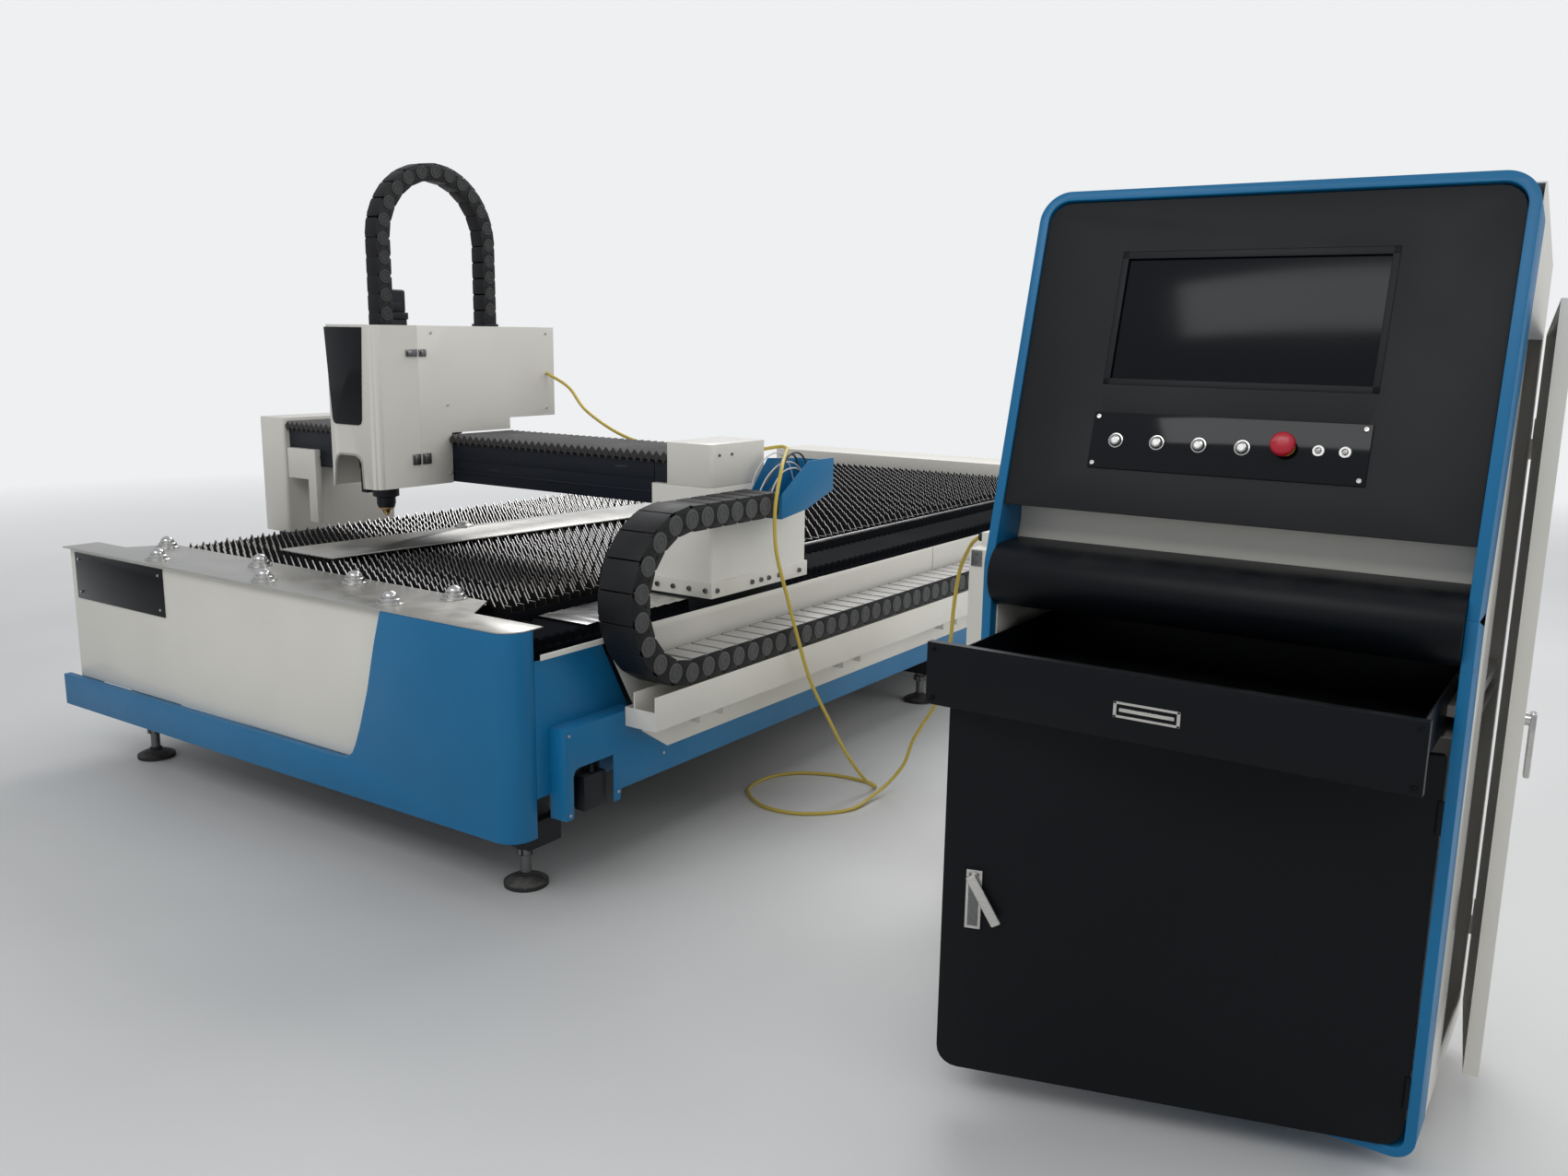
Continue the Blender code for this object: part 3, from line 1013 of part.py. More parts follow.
def build_console_body():
    rear = front_line(CONSOLE_TOP) + BAND_DEPTH
    side = [(CONSOLE_FRONT_Y, CONSOLE_LOW - REACH),
            (CONSOLE_FRONT_Y + BAND_DEPTH, CONSOLE_LOW - REACH),
            (CONSOLE_FRONT_Y + BAND_DEPTH, CONSOLE_WAIST),
            (rear, CONSOLE_TOP), (rear, CONSOLE_TOP + REACH),
            (rear - BAND_DEPTH, CONSOLE_TOP + REACH), (rear - BAND_DEPTH, CONSOLE_TOP),
            (CONSOLE_FRONT_Y, CONSOLE_WAIST)]
    span_y = (CONSOLE_FRONT_Y - REACH, rear + REACH)
    outer = rounded_outline(BAND_OUTER_X, (CONSOLE_LOW, CONSOLE_TOP), BAND_LOW_RADIUS,
                            BAND_TOP_RADIUS)
    inner = rounded_outline(BAND_INNER_X, BAND_INNER_Z, BAND_LOW_RADIUS - BAND_WALL,
                            BAND_TOP_RADIUS - BAND_WALL)
    wide = (CONSOLE_X[0] - REACH, CONSOLE_X[1] + REACH)
    piece("console_band", "blue", prism(outer, span_y, "y"),
          [("INTERSECT", prism(side, wide, "x"))]
          + cut(prism(inner, (span_y[0] - REACH, span_y[1] + REACH), "y")))

    shell_front = CONSOLE_FRONT_Y + BAND_DEPTH + GAP
    shell_top_y = front_line(SHELL_FRONT_TOP) + BAND_DEPTH + GAP
    profile = [(shell_front, CABINET_LOW + GAP), (CONSOLE_REAR_Y, CABINET_LOW + GAP),
               (CONSOLE_REAR_Y, SHELL_REAR_TOP), (shell_top_y, SHELL_FRONT_TOP),
               (shell_front, CONSOLE_WAIST)]
    cavity = [(SHELL_CAVITY_FRONT, CABINET_LOW + SHEET),
              (CONSOLE_REAR_Y - SHEET, CABINET_LOW + SHEET),
              (CONSOLE_REAR_Y - SHEET, SHELL_REAR_TOP - SHEET),
              (shell_top_y, SHELL_FRONT_TOP - SHEET),
              (SHELL_CAVITY_FRONT, SHELL_FRONT_TOP - SHEET)]
    inside_x = (SHELL_X[0] + SHEET, SHELL_X[1] - SHEET)
    held_x = (inside_x[0] - OVERLAP, inside_x[1] + OVERLAP)
    casters = []
    for x in CASTER_X:
        for y in CASTER_Y:
            casters.append(bar((y, CASTER_RADIUS), CASTER_RADIUS,
                               (x - CASTER_HALF_WIDTH, x + CASTER_HALF_WIDTH), "x", CASTER_SIDES))
    forks = [block((x - CASTER_FORK_HALF, x + CASTER_FORK_HALF),
                   (y - CASTER_FORK_HALF, y + CASTER_FORK_HALF), CASTER_FORK_Z)
             for x in CASTER_X for y in CASTER_Y]
    control_unit = block(CONTROL_UNIT_X, CONTROL_UNIT_Y, CONTROL_UNIT_Z)
    runners = [block((inside_x[0] - OVERLAP, DRAWER_BODY_X[0] - GAP), RUNNER_Y, RUNNER_Z),
               block((DRAWER_BODY_X[1] + GAP, inside_x[1] + OVERLAP), RUNNER_Y, RUNNER_Z)]
    tabs = [block((SHELL_X[1] - OVERLAP, SIDE_DOOR_HINGE[0]), SIDE_SHELL_TAB_Y,
                  (row - SIDE_KNUCKLE_LENGTH, row)) for row in SIDE_KNUCKLE_ROWS_Z]
    knuckles = [bar(SIDE_DOOR_HINGE, SIDE_KNUCKLE_RADIUS, (row - SIDE_KNUCKLE_LENGTH, row), "z",
                    LATCH_SIDES) for row in SIDE_KNUCKLE_ROWS_Z]
    piece("console_shell", "cream", prism(profile, SHELL_X, "x"),
          cut(prism(cavity, inside_x, "x"),
              block(SIDE_OPENING_X, SIDE_OPENING_Y, SIDE_OPENING_Z))
          + joined(block(held_x, BULKHEAD_Y, BULKHEAD_Z),
                   block(SHELF_X, BULKHEAD_Y, BULKHEAD_TOP_Z), block(held_x, DECK_Y, DECK_Z),
                   gathered(forks), gathered(casters), control_unit, gathered(runners),
                   gathered(tabs), gathered(knuckles)))

    nose_y, nose_z, nose_radius = SHELF_NOSE
    shelf = ([(SHELF_REAR_Y, nose_z + nose_radius)]
             + arc((nose_y, nose_z), nose_radius, QUARTER_TURN, 3 * QUARTER_TURN, SHELF_NOSE_STEPS)
             + [(SHELF_REAR_Y, nose_z - nose_radius)])
    piece("console_shelf", "black", prism(shelf, SHELF_X, "x"))


def build_console_front():
    frame = fascia_frame()
    screen_hole = block((SCREEN_X[0], SCREEN_X[1]), (FASCIA_Y[0] - REACH, FASCIA_Y[1] + REACH),
                        SCREEN_RISE)
    button_hole = block(BUTTON_OPENING_X, (FASCIA_Y[0] - REACH, FASCIA_Y[1] + REACH),
                        BUTTON_OPENING_RISE)
    fascia = prism(rounded_outline(FASCIA_X, FASCIA_RISE, FASCIA_LOW_RADIUS, FASCIA_TOP_RADIUS),
                   FASCIA_Y, "y")
    piece("console_fascia", "black", moved(fascia, frame),
          cut(moved(screen_hole, frame), moved(button_hole, frame)))
    screen = block((SCREEN_X[0] - SCREEN_MARGIN, SCREEN_X[1] + SCREEN_MARGIN), SCREEN_Y,
                   (SCREEN_RISE[0] - SCREEN_MARGIN, SCREEN_RISE[1] + SCREEN_MARGIN))
    piece("console_screen", "screen", moved(screen, frame))
    holes = [bar((x, BUTTON_RISE), BUTTON_HOLE_RADIUS,
                 (BUTTON_PLATE_Y[0] - REACH, BUTTON_PLATE_Y[1] + REACH), "y", BUTTON_SIDES)
             for x in BUTTON_ROW_X]
    holes.append(bar(STOP_CENTRE, BUTTON_HOLE_RADIUS,
                     (BUTTON_PLATE_Y[0] - REACH, BUTTON_PLATE_Y[1] + REACH), "y", BUTTON_SIDES))
    piece("button_plate", "black",
          moved(block(BUTTON_PLATE_X, BUTTON_PLATE_Y, BUTTON_PLATE_RISE), frame),
          cut(moved(gathered(holes), frame)))
    for number, x in enumerate(BUTTON_ROW_X, start=1):
        stem = bar((x, BUTTON_RISE), BUTTON_RADIUS, BUTTON_Y, "y", BUTTON_SIDES)
        button = piece("push_button_%d" % number, "stainless", moved(stem, frame))
        joint("push_button_%d_slide" % number, frame @ Vector((x, 0, BUTTON_RISE)), [button])
    stop = turned([(radius, depth) for radius, depth in STOP_PROFILE], (0, 0), STOP_SIDES)
    stand = (frame @ Matrix.Translation((STOP_CENTRE[0], 0, STOP_CENTRE[1]))
             @ Matrix.Rotation(-QUARTER_TURN, 4, "X"))
    e_stop = piece("e_stop", "red", moved(stop, stand))
    joint("e_stop_slide", frame @ Vector((STOP_CENTRE[0], 0, STOP_CENTRE[1])), [e_stop])


def build_drawer():
    low, top = DRAWER_BODY_Z
    hollow = block((DRAWER_BODY_X[0] + SHEET, DRAWER_BODY_X[1] - SHEET),
                   (DRAWER_FRONT_Y[1], DRAWER_BODY_Y[1] - SHEET), (low + SHEET, top + REACH))
    drawer = piece("drawer", "black", block(DRAWER_BODY_X, DRAWER_BODY_Y, DRAWER_BODY_Z),
                   cut(hollow)
                   + joined(block(DRAWER_FRONT_X, DRAWER_FRONT_Y, DRAWER_FRONT_Z),
                            block(DRAWER_HANDLE_X, DRAWER_HANDLE_Y, DRAWER_HANDLE_Z)))
    joint("drawer_slide", (HALF_SHARE * sum(DRAWER_FRONT_X), DRAWER_FRONT_Y[0], DRAWER_FRONT_Z[0]),
          [drawer])


def about(point, angle):
    """Turn about an upright axis that stands at a point."""
    place = Matrix.Translation((point[0], point[1], 0))
    return place @ Matrix.Rotation(angle, 4, "Z") @ place.inverted()


def build_doors():
    ajar = about(DOOR_HINGE, DOOR_REST_ANGLE)
    panel = prism(rounded_outline(DOOR_X, DOOR_Z, DOOR_LOW_RADIUS, DOOR_TOP_RADIUS), DOOR_Y, "y")
    lock = block(LOCK_X, LOCK_Y, LOCK_Z)
    knuckles = gathered([bar(DOOR_HINGE, DOOR_KNUCKLE_RADIUS, rows, "z", LATCH_SIDES)
                         for rows in DOOR_KNUCKLE_ROWS_Z])
    door = piece("front_door", "black", moved(panel, ajar),
                 joined(moved(lock, ajar), moved(knuckles, ajar)))
    joint("front_door_hinge", (*DOOR_HINGE, DOOR_Z[0]), [door])

    pivot = Matrix.Translation((LOCK_PIVOT[0], 0, LOCK_PIVOT[1]))
    lean = pivot @ Matrix.Rotation(LOCK_HANDLE_TILT, 4, "Y").inverted()
    shaft = bar((0, 0), LATCH_PIVOT_RADIUS, LATCH_PIVOT_Y, "y", LATCH_SIDES)
    lever = block((-LATCH_BAR_HALF_WIDTH, LATCH_BAR_HALF_WIDTH), LATCH_BAR_Y, LATCH_BAR_RISE)
    handle = piece("front_latch_handle", "steel", moved(shaft, ajar @ lean),
                   joined(moved(lever, ajar @ lean)))
    joint("front_latch_hinge", ajar @ Vector((LOCK_PIVOT[0], LATCH_PIVOT_Y[0], LOCK_PIVOT[1])),
          [handle])

    ajar = about(SIDE_DOOR_HINGE, SIDE_DOOR_REST_ANGLE)
    panel = prism(SIDE_DOOR_OUTLINE, SIDE_DOOR_X, "x")
    pan = prism(SIDE_DOOR_PAN_OUTLINE, SIDE_DOOR_PAN_X, "x")
    rows = [(row + GAP, row + SIDE_KNUCKLE_LENGTH) for row in SIDE_KNUCKLE_ROWS_Z]
    knuckles = gathered([bar(SIDE_DOOR_HINGE, SIDE_KNUCKLE_RADIUS, span, "z", LATCH_SIDES)
                         for span in rows])
    tab_y = (SIDE_DOOR_OUTLINE[1][0] - OVERLAP, SIDE_DOOR_HINGE[1])
    tabs = gathered([block(SIDE_DOOR_TAB_X, tab_y, span) for span in rows])
    door = piece("side_door", "cream", moved(panel, ajar),
                 cut(moved(pan, ajar)) + joined(moved(tabs, ajar), moved(knuckles, ajar)))
    joint("side_door_hinge", (*SIDE_DOOR_HINGE, SIDE_DOOR_OUTLINE[0][1]), [door])
    shaft = bar(SIDE_HANDLE_PIVOT, SIDE_HANDLE_PIVOT_RADIUS, SIDE_HANDLE_PIVOT_X, "x", LATCH_SIDES)
    centre_y, centre_z = SIDE_HANDLE_PIVOT
    lever = block(SIDE_HANDLE_BAR_X,
                  (centre_y - SIDE_HANDLE_HALF_WIDTH, centre_y + SIDE_HANDLE_HALF_WIDTH),
                  (centre_z + SIDE_HANDLE_RISE[0], centre_z + SIDE_HANDLE_RISE[1]))
    handle = piece("side_latch_handle", "steel", moved(shaft, ajar), joined(moved(lever, ajar)))
    joint("side_latch_hinge", ajar @ Vector((SIDE_HANDLE_PIVOT_X[0], centre_y, centre_z)),
          [handle])


def build_laser_source():
    inset = SOURCE_PLINTH_INSET
    piece("laser_source", "cream", block(SOURCE_X, SOURCE_Y, SOURCE_Z),
          joined(block((SOURCE_X[0] + inset, SOURCE_X[1] - inset),
                       (SOURCE_Y[0] + inset, SOURCE_Y[1] - inset), SOURCE_PLINTH_Z),
                 block(GLAND_X, GLAND_Y, GLAND_Z)))
    cord("fibre_cable", "yellow", CABLE_ROUTE, CABLE_POINTS)


build_bed_frame()
build_front()
build_sides()
build_table()
build_rails()
gantry = build_gantry()
upper_chain, chain_bend = build_side_chain()
upper_cable = cord("fibre_cable_upper", "yellow", UPPER_CABLE_ROUTE, UPPER_CABLE_POINTS)
joint("gantry_slide", (0, GANTRY_FRONT, BELLOWS_Z[1]), gantry + [upper_chain, upper_cable])
joint("chain_loop_slide", (CHAIN_X[0], CHAIN_BEND_Y, CHAIN_LOW), [chain_bend])
joint("carriage_slide", (HEAD_X[0], GANTRY_BEAM_Y[0], GANTRY_BEAM_Z[0]), build_carriage())
joint("head_cover_hinge", (*HINGE_POINT, COVER_Z[0]), build_head_cover())
joint("z_slide", (*NOZZLE_CENTRE, NOZZLE_PROFILE[0][1]), [build_cutting_head()])
build_console_body()
build_console_front()
build_drawer()
build_doors()
build_laser_source()
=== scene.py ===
"""Fiber laser cutting machine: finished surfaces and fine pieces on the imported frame.

Sizes are in metres and are given from the middle of the bed (X), from its front face (Y) and from
the floor (Z), as in the part's source; each finished piece is then moved to the frame's origin.
"""
import json
import math
import random

import bpy
from mathutils import Matrix, Vector

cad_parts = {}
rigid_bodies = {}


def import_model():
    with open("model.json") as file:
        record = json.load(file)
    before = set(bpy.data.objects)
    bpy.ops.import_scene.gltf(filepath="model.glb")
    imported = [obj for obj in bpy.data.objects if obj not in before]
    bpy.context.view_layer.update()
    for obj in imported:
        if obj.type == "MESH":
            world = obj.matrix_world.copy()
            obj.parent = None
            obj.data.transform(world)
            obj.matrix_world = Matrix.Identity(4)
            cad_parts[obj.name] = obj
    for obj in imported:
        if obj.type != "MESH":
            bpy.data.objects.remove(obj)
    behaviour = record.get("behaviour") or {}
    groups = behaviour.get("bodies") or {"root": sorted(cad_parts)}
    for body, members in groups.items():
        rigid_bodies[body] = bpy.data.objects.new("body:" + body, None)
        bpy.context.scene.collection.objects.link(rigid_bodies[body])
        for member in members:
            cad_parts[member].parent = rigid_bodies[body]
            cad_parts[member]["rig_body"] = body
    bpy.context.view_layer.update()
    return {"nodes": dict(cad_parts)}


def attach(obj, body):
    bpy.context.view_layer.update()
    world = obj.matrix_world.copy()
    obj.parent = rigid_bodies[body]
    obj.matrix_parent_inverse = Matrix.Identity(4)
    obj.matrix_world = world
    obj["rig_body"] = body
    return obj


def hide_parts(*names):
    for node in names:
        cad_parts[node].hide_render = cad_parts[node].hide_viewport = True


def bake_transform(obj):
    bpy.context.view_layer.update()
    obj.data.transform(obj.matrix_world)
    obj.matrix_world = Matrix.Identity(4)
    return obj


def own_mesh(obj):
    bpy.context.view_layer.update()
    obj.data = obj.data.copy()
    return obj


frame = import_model()

ORIGIN = Vector((0.895, 0.18, 0))
HALF = 0.5
QUARTER_TURN = math.pi / 2
FULL_TURN = 2 * math.pi
SMOOTH_ANGLE = math.radians(35)
MERGE_DISTANCE = 0.00002
FLAT_ANGLE = math.radians(1)
EDGE_ANGLE = math.radians(32)
FOLD_SMOOTH_ANGLE = math.radians(20)
TOOTH_SMOOTH_ANGLE = math.radians(5)
SOFT_EDGE = 0.0012
SHEET_EDGE = 0.0010
THIN_EDGE = 0.0008
FINE_EDGE = 0.0006
HAIR_EDGE = 0.0005
CASTING_EDGE = 0.0015
FRAME_EDGE = 0.0020
EDGE_STEPS = 2
TURN_SIDES = 32
LOW_TURN_SIDES = 20
SCREW_SIDES = 16
BOLT_SIDES = 24

# Camera
CAMERA_PLACE = Vector((2.4104, -2.3304, 1.4757))
CAMERA_YAW = 0.5962
CAMERA_PITCH = 0.1956
CAMERA_ROLL = 0.0143
CAMERA_LENS = 29.725
CAMERA_SENSOR = 36.0
CAMERA_REACH = (0.05, 100)

# Cable
CABLE_RADIUS = 0.0055
CABLE_ROUTE = ((1.1154, 1.0743, 1.1119), (1.1509, 1.0152, 1.1056), (1.1868, 0.9554, 1.0992),
               (1.2080, 0.9150, 1.0750), (1.2175, 0.8850, 1.0250), (1.219, 0.872, 0.958),
               (1.221, 0.880, 0.850), (1.226, 0.934, 0.706), (1.233, 0.985, 0.570),
               (1.240, 1.045, 0.433), (1.254, 1.135, 0.290), (1.268, 1.226, 0.154),
               (1.280, 1.320, 0.050), (1.286, 1.375, 0.012), (1.270, 1.400, 0.0063),
               (1.220, 1.415, 0.0058), (1.104, 1.404, 0.0058), (0.991, 1.343, 0.0058),
               (0.940, 1.236, 0.0058), (0.963, 1.110, 0.0058), (1.085, 1.024, 0.0058),
               (1.217, 1.042, 0.0058), (1.320, 1.157, 0.0065), (1.330, 1.290, 0.0180),
               (1.345, 1.370, 0.0450), (1.385, 1.390, 0.1100), (1.421, 1.371, 0.194),
               (1.490, 1.315, 0.285), (1.557, 1.252, 0.367), (1.605, 1.210, 0.480),
               (1.637, 1.181, 0.595), (1.650, 1.168, 0.700), (1.674, 1.148, 0.812),
               (1.725, 1.098, 0.888), (1.760, 1.062, 0.920), (1.782, 1.0502, 0.9315),
               (1.7968, 1.050, 0.932))
UPPER_CABLE_ROUTE = ((-0.0315, 1.240, 1.318), (0.060, 1.255, 1.270), (0.180, 1.215, 1.195),
                     (0.400, 1.150, 1.127), (0.600, 1.130, 1.095), (0.800, 1.150, 1.085),
                     (0.920, 1.185, 1.105), (1.010, 1.200, 1.122), (1.0637, 1.1604, 1.1211),
                     (1.0894, 1.1177, 1.1166), (1.1150, 1.0750, 1.1120))
CABLE_POINTS = 160
UPPER_CABLE_POINTS = 90
CABLE_ROUND = 5
WIRE_ROUND = 3


# Helpers for modelling

def select_only(made):
    bpy.ops.object.select_all(action="DESELECT")
    made.select_set(True)
    bpy.context.view_layer.objects.active = made
    return made


def start_piece():
    """Select nothing, so that an operator only works on the new piece."""
    bpy.ops.object.select_all(action="DESELECT")


def in_edit(made, *steps):
    """Run operators on all of a piece in edit mode."""
    select_only(made)
    bpy.ops.object.mode_set(mode="EDIT")
    bpy.ops.mesh.select_all(action="SELECT")
    for step in steps:
        step()
    bpy.ops.object.mode_set(mode="OBJECT")
    return made


def apply_modifier(made, modifier):
    select_only(made)
    bpy.ops.object.modifier_apply(modifier=modifier.name)
    return made


def softened(made, width=SOFT_EDGE, steps=EDGE_STEPS):
    """Round the sharp edges of a piece."""
    bevel = made.modifiers.new("soft_edge", "BEVEL")
    bevel.width = width
    bevel.segments = steps
    bevel.limit_method = "ANGLE"
    bevel.angle_limit = EDGE_ANGLE
    bevel.use_clamp_overlap = True
    bevel.harden_normals = False
    return apply_modifier(made, bevel)


def outward(made):
    return in_edit(made, lambda: bpy.ops.mesh.remove_doubles(threshold=MERGE_DISTANCE),
                   lambda: bpy.ops.mesh.normals_make_consistent(inside=False))


def block(name, span_x, span_y, span_z, edge=SOFT_EDGE, steps=EDGE_STEPS):
    """Box between two spans each way with rounded edges."""
    spans = (span_x, span_y, span_z)
    start_piece()
    bpy.ops.mesh.primitive_cube_add(size=1, location=[HALF * sum(span) for span in spans],
                                    scale=[span[1] - span[0] for span in spans])
    made = bpy.context.object
    made.name = name
    bpy.ops.object.transform_apply(location=True, rotation=True, scale=True)
    return softened(made, edge, steps) if edge else made


def cut_plate(name, outline, span, axis, edge=SOFT_EDGE, steps=EDGE_STEPS):
    """Plate sawn to an outline that gives the two other axes in order, as thick as the span."""
    start_piece()
    bpy.ops.mesh.primitive_circle_add(vertices=len(outline), radius=1, fill_type="NGON")
    made = bpy.context.object
    made.name = name
    depth = span[1] - span[0]
    for vertex, pair in zip(made.data.vertices, outline):
        vertex.co = {"x": (span[0], *pair), "y": (pair[0], span[0], pair[1]),
                     "z": (*pair, span[0])}[axis]
    push = [depth * (axis == letter) for letter in "xyz"]
    in_edit(made,
            lambda: bpy.ops.mesh.extrude_region_move(TRANSFORM_OT_translate={"value": push}),
            lambda: bpy.ops.mesh.select_all(action="SELECT"),
            lambda: bpy.ops.mesh.normals_make_consistent(inside=False))
    return softened(made, edge, steps) if edge else made


def turned(name, profile, sides=TURN_SIDES):
    """Turn a (radius, height) profile about Z: a disc that is drawn up and widened in steps."""
    start_piece()
    radius, height = profile[0]
    bpy.ops.mesh.primitive_circle_add(vertices=sides, radius=radius, fill_type="NGON",
                                      location=(0, 0, height))
    made = bpy.context.object
    made.name = name
    bpy.ops.object.transform_apply(location=True, rotation=True, scale=True)
    select_only(made)
    bpy.ops.object.mode_set(mode="EDIT")
    bpy.ops.mesh.select_all(action="SELECT")
    for next_radius, next_height in profile[1:]:
        bpy.ops.mesh.extrude_region_move(
            TRANSFORM_OT_translate={"value": (0, 0, next_height - height)})
        grow = next_radius / radius
        bpy.ops.transform.resize(value=(grow, grow, 1), center_override=(0, 0, next_height))
        radius, height = next_radius, next_height
    bpy.ops.mesh.select_all(action="SELECT")
    bpy.ops.mesh.normals_make_consistent(inside=False)
    bpy.ops.object.mode_set(mode="OBJECT")
    return made


def placed(made, matrix):
    made.data.transform(matrix)
    return made


def copied(made, matrix=None):
    """Copy of a piece with its own mesh."""
    twin = made.copy()
    twin.data = made.data.copy()
    bpy.context.scene.collection.objects.link(twin)
    if matrix is not None:
        twin.data.transform(matrix)
    return twin


def together(name, pieces):
    """Join pieces into one object."""
    start_piece()
    for made in pieces:
        made.select_set(True)
    bpy.context.view_layer.objects.active = pieces[0]
    if len(pieces) > 1:
        bpy.ops.object.join()
    pieces[0].name = name
    return pieces[0]


def repeated(made, places):
    """The piece and its copies at each place, joined to one object."""
    name = made.name
    twins = [copied(made, Matrix.Translation(place)) for place in places]
    bpy.data.objects.remove(made, do_unlink=True)
    return together(name, twins)


def shaped(made, operation, tool):
    """Add, cut or keep the shape of another piece."""
    modifier = made.modifiers.new("shape", "BOOLEAN")
    modifier.operation = operation
    modifier.solver = "EXACT"
    modifier.object = tool
    apply_modifier(made, modifier)
    bpy.data.objects.remove(tool, do_unlink=True)
    return made


def finished(made, body, material, replaces=(), smooth=SMOOTH_ANGLE):
    """Move a piece to the frame's origin, give it its finish and let it ride on its body."""
    select_only(made)
    if made.type == "MESH":
        bpy.ops.object.shade_smooth_by_angle(angle=smooth, keep_sharp_edges=True)
    made.data.transform(Matrix.Translation(-ORIGIN))
    if material is not None:
        made.data.materials.clear()
        made.data.materials.append(material)
    if body:
        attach(made, body)
    if replaces:
        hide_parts(*replaces)
    return made


def arc(centre, radius, start, end, steps):
    return [(centre[0] + radius * math.cos(start + (end - start) * step / steps),
             centre[1] + radius * math.sin(start + (end - start) * step / steps))
            for step in range(steps + 1)]


def solid_copy(node, name):
    """Copy of a solid of the frame, its triangles merged to whole faces, in bed coordinates."""
    source = frame["nodes"][node]
    made = bpy.data.objects.new(name, source.data.copy())
    bpy.context.scene.collection.objects.link(made)
    made.data.transform(Matrix.Translation(ORIGIN))
    return in_edit(made, lambda: bpy.ops.mesh.remove_doubles(threshold=MERGE_DISTANCE),
                   lambda: bpy.ops.mesh.dissolve_limited(angle_limit=FLAT_ANGLE),
                   lambda: bpy.ops.mesh.customdata_custom_splitnormals_clear())


# Finishes

MIX_FACTOR, MIX_FIRST, MIX_SECOND = 0, 6, 7
MIX_COLOUR = 2
PEEL_DETAIL = 3.0
CLOUD_DETAIL = 4.0
CLOUD_RANGE = (0.35, 0.65)
HAIR_TURN = (0.4, 0.9, 0.3)
HAIR_STRETCH = (9.0, 160.0, 60.0)
HAIR_RANGE = (0.70, 0.76)
SCUFF_PATCH = 5.0
SCUFF_PATCH_RANGE = (0.50, 0.62)
FLAT_RANGE = (0.55, 0.98)
DUST_PATCH = (14.0, 6.0, 0.65)
DUST_RANGE = (0.36, 0.72)
LINE_NOISE = (1.0, 4.0, 0.7)
LINE_RANGE = (0.3, 0.7)
STAIN_NOISE = (9.0, 5.0, 0.6)
STAIN_RANGE = (0.45, 0.75)
STAIN_DULLNESS = 0.2
COAT_ROUGHNESS = 0.05
SCUFF_LIGHT = 0.55
DUST_DULLNESS = 0.6
COAT_RELIEF = 0.6
METAL_RELIEF = 0.5


def shader_node(tree, kind, settings=(), **values):
    """Add a node, set its properties and set or link its inputs by name."""
    made = tree.nodes.new(kind)
    for key, value in settings:
        setattr(made, key, value)
    for key, value in values.items():
        socket = made.inputs[key.replace("_", " ")]
        if isinstance(value, bpy.types.NodeSocket):
            tree.links.new(value, socket)
        else:
            socket.default_value = value
    return made


def mixed(tree, factor, first, second, kind="MIX"):
    """Mix two colours."""
    made = tree.nodes.new("ShaderNodeMix")
    made.data_type = "RGBA"
    made.blend_type = kind
    for socket, value in ((made.inputs[MIX_FACTOR], factor), (made.inputs[MIX_FIRST], first),
                          (made.inputs[MIX_SECOND], second)):
        if isinstance(value, bpy.types.NodeSocket):
            tree.links.new(value, socket)
        else:
            socket.default_value = value
    return made.outputs[MIX_COLOUR]


def spread(tree, value, low, high, to_low=0.0, to_high=1.0):
    """Stretch a value's range."""
    return shader_node(tree, "ShaderNodeMapRange", Value=value, From_Min=low, From_Max=high,
                       To_Min=to_low, To_Max=to_high).outputs["Result"]


def combined(tree, first, second, kind="MULTIPLY"):
    """Multiply two values, or join them by another sum."""
    made = tree.nodes.new("ShaderNodeMath")
    made.operation = kind
    for socket, value in zip(made.inputs, (first, second)):
        if isinstance(value, bpy.types.NodeSocket):
            tree.links.new(value, socket)
        else:
            socket.default_value = value
    return made.outputs[0]


def new_group(name, inputs, outputs):
    tree = bpy.data.node_groups.new(name, "ShaderNodeTree")
    for label, kind in inputs:
        tree.interface.new_socket(name=label, in_out="INPUT", socket_type="NodeSocket" + kind)
    for label, kind in outputs:
        tree.interface.new_socket(name=label, in_out="OUTPUT", socket_type="NodeSocket" + kind)
    return tree, tree.nodes.new("NodeGroupInput"), tree.nodes.new("NodeGroupOutput")


def noise(tree, vector, scale, detail=2.0, roughness=0.5):
    return shader_node(tree, "ShaderNodeTexNoise", Vector=vector, Scale=scale, Detail=detail,
                       Roughness=roughness).outputs["Fac"]


def sprayed_coat_group():
    """Fine orange peel of sprayed paint, slow cloudiness and a few hairline scuffs."""
    tree, given, result = new_group(
        "sprayed_coat", (("Vector", "Vector"), ("Peel", "Float"), ("Cloud", "Float")),
        (("Height", "Float"), ("Cloud", "Float"), ("Scuff", "Float")))
    peel = noise(tree, given.outputs["Vector"], given.outputs["Peel"], PEEL_DETAIL)
    cloud = noise(tree, given.outputs["Vector"], given.outputs["Cloud"], CLOUD_DETAIL)
    stretched = shader_node(tree, "ShaderNodeMapping", Vector=given.outputs["Vector"],
                            Rotation=HAIR_TURN, Scale=HAIR_STRETCH)
    hair = noise(tree, stretched.outputs["Vector"], 1.0, 1.0)
    patch = noise(tree, given.outputs["Vector"], SCUFF_PATCH)
    scuff = combined(tree, spread(tree, hair, *HAIR_RANGE),
                  spread(tree, patch, *SCUFF_PATCH_RANGE))
    tree.links.new(peel, result.inputs["Height"])
    tree.links.new(spread(tree, cloud, *CLOUD_RANGE), result.inputs["Cloud"])
    tree.links.new(scuff, result.inputs["Scuff"])
    return tree


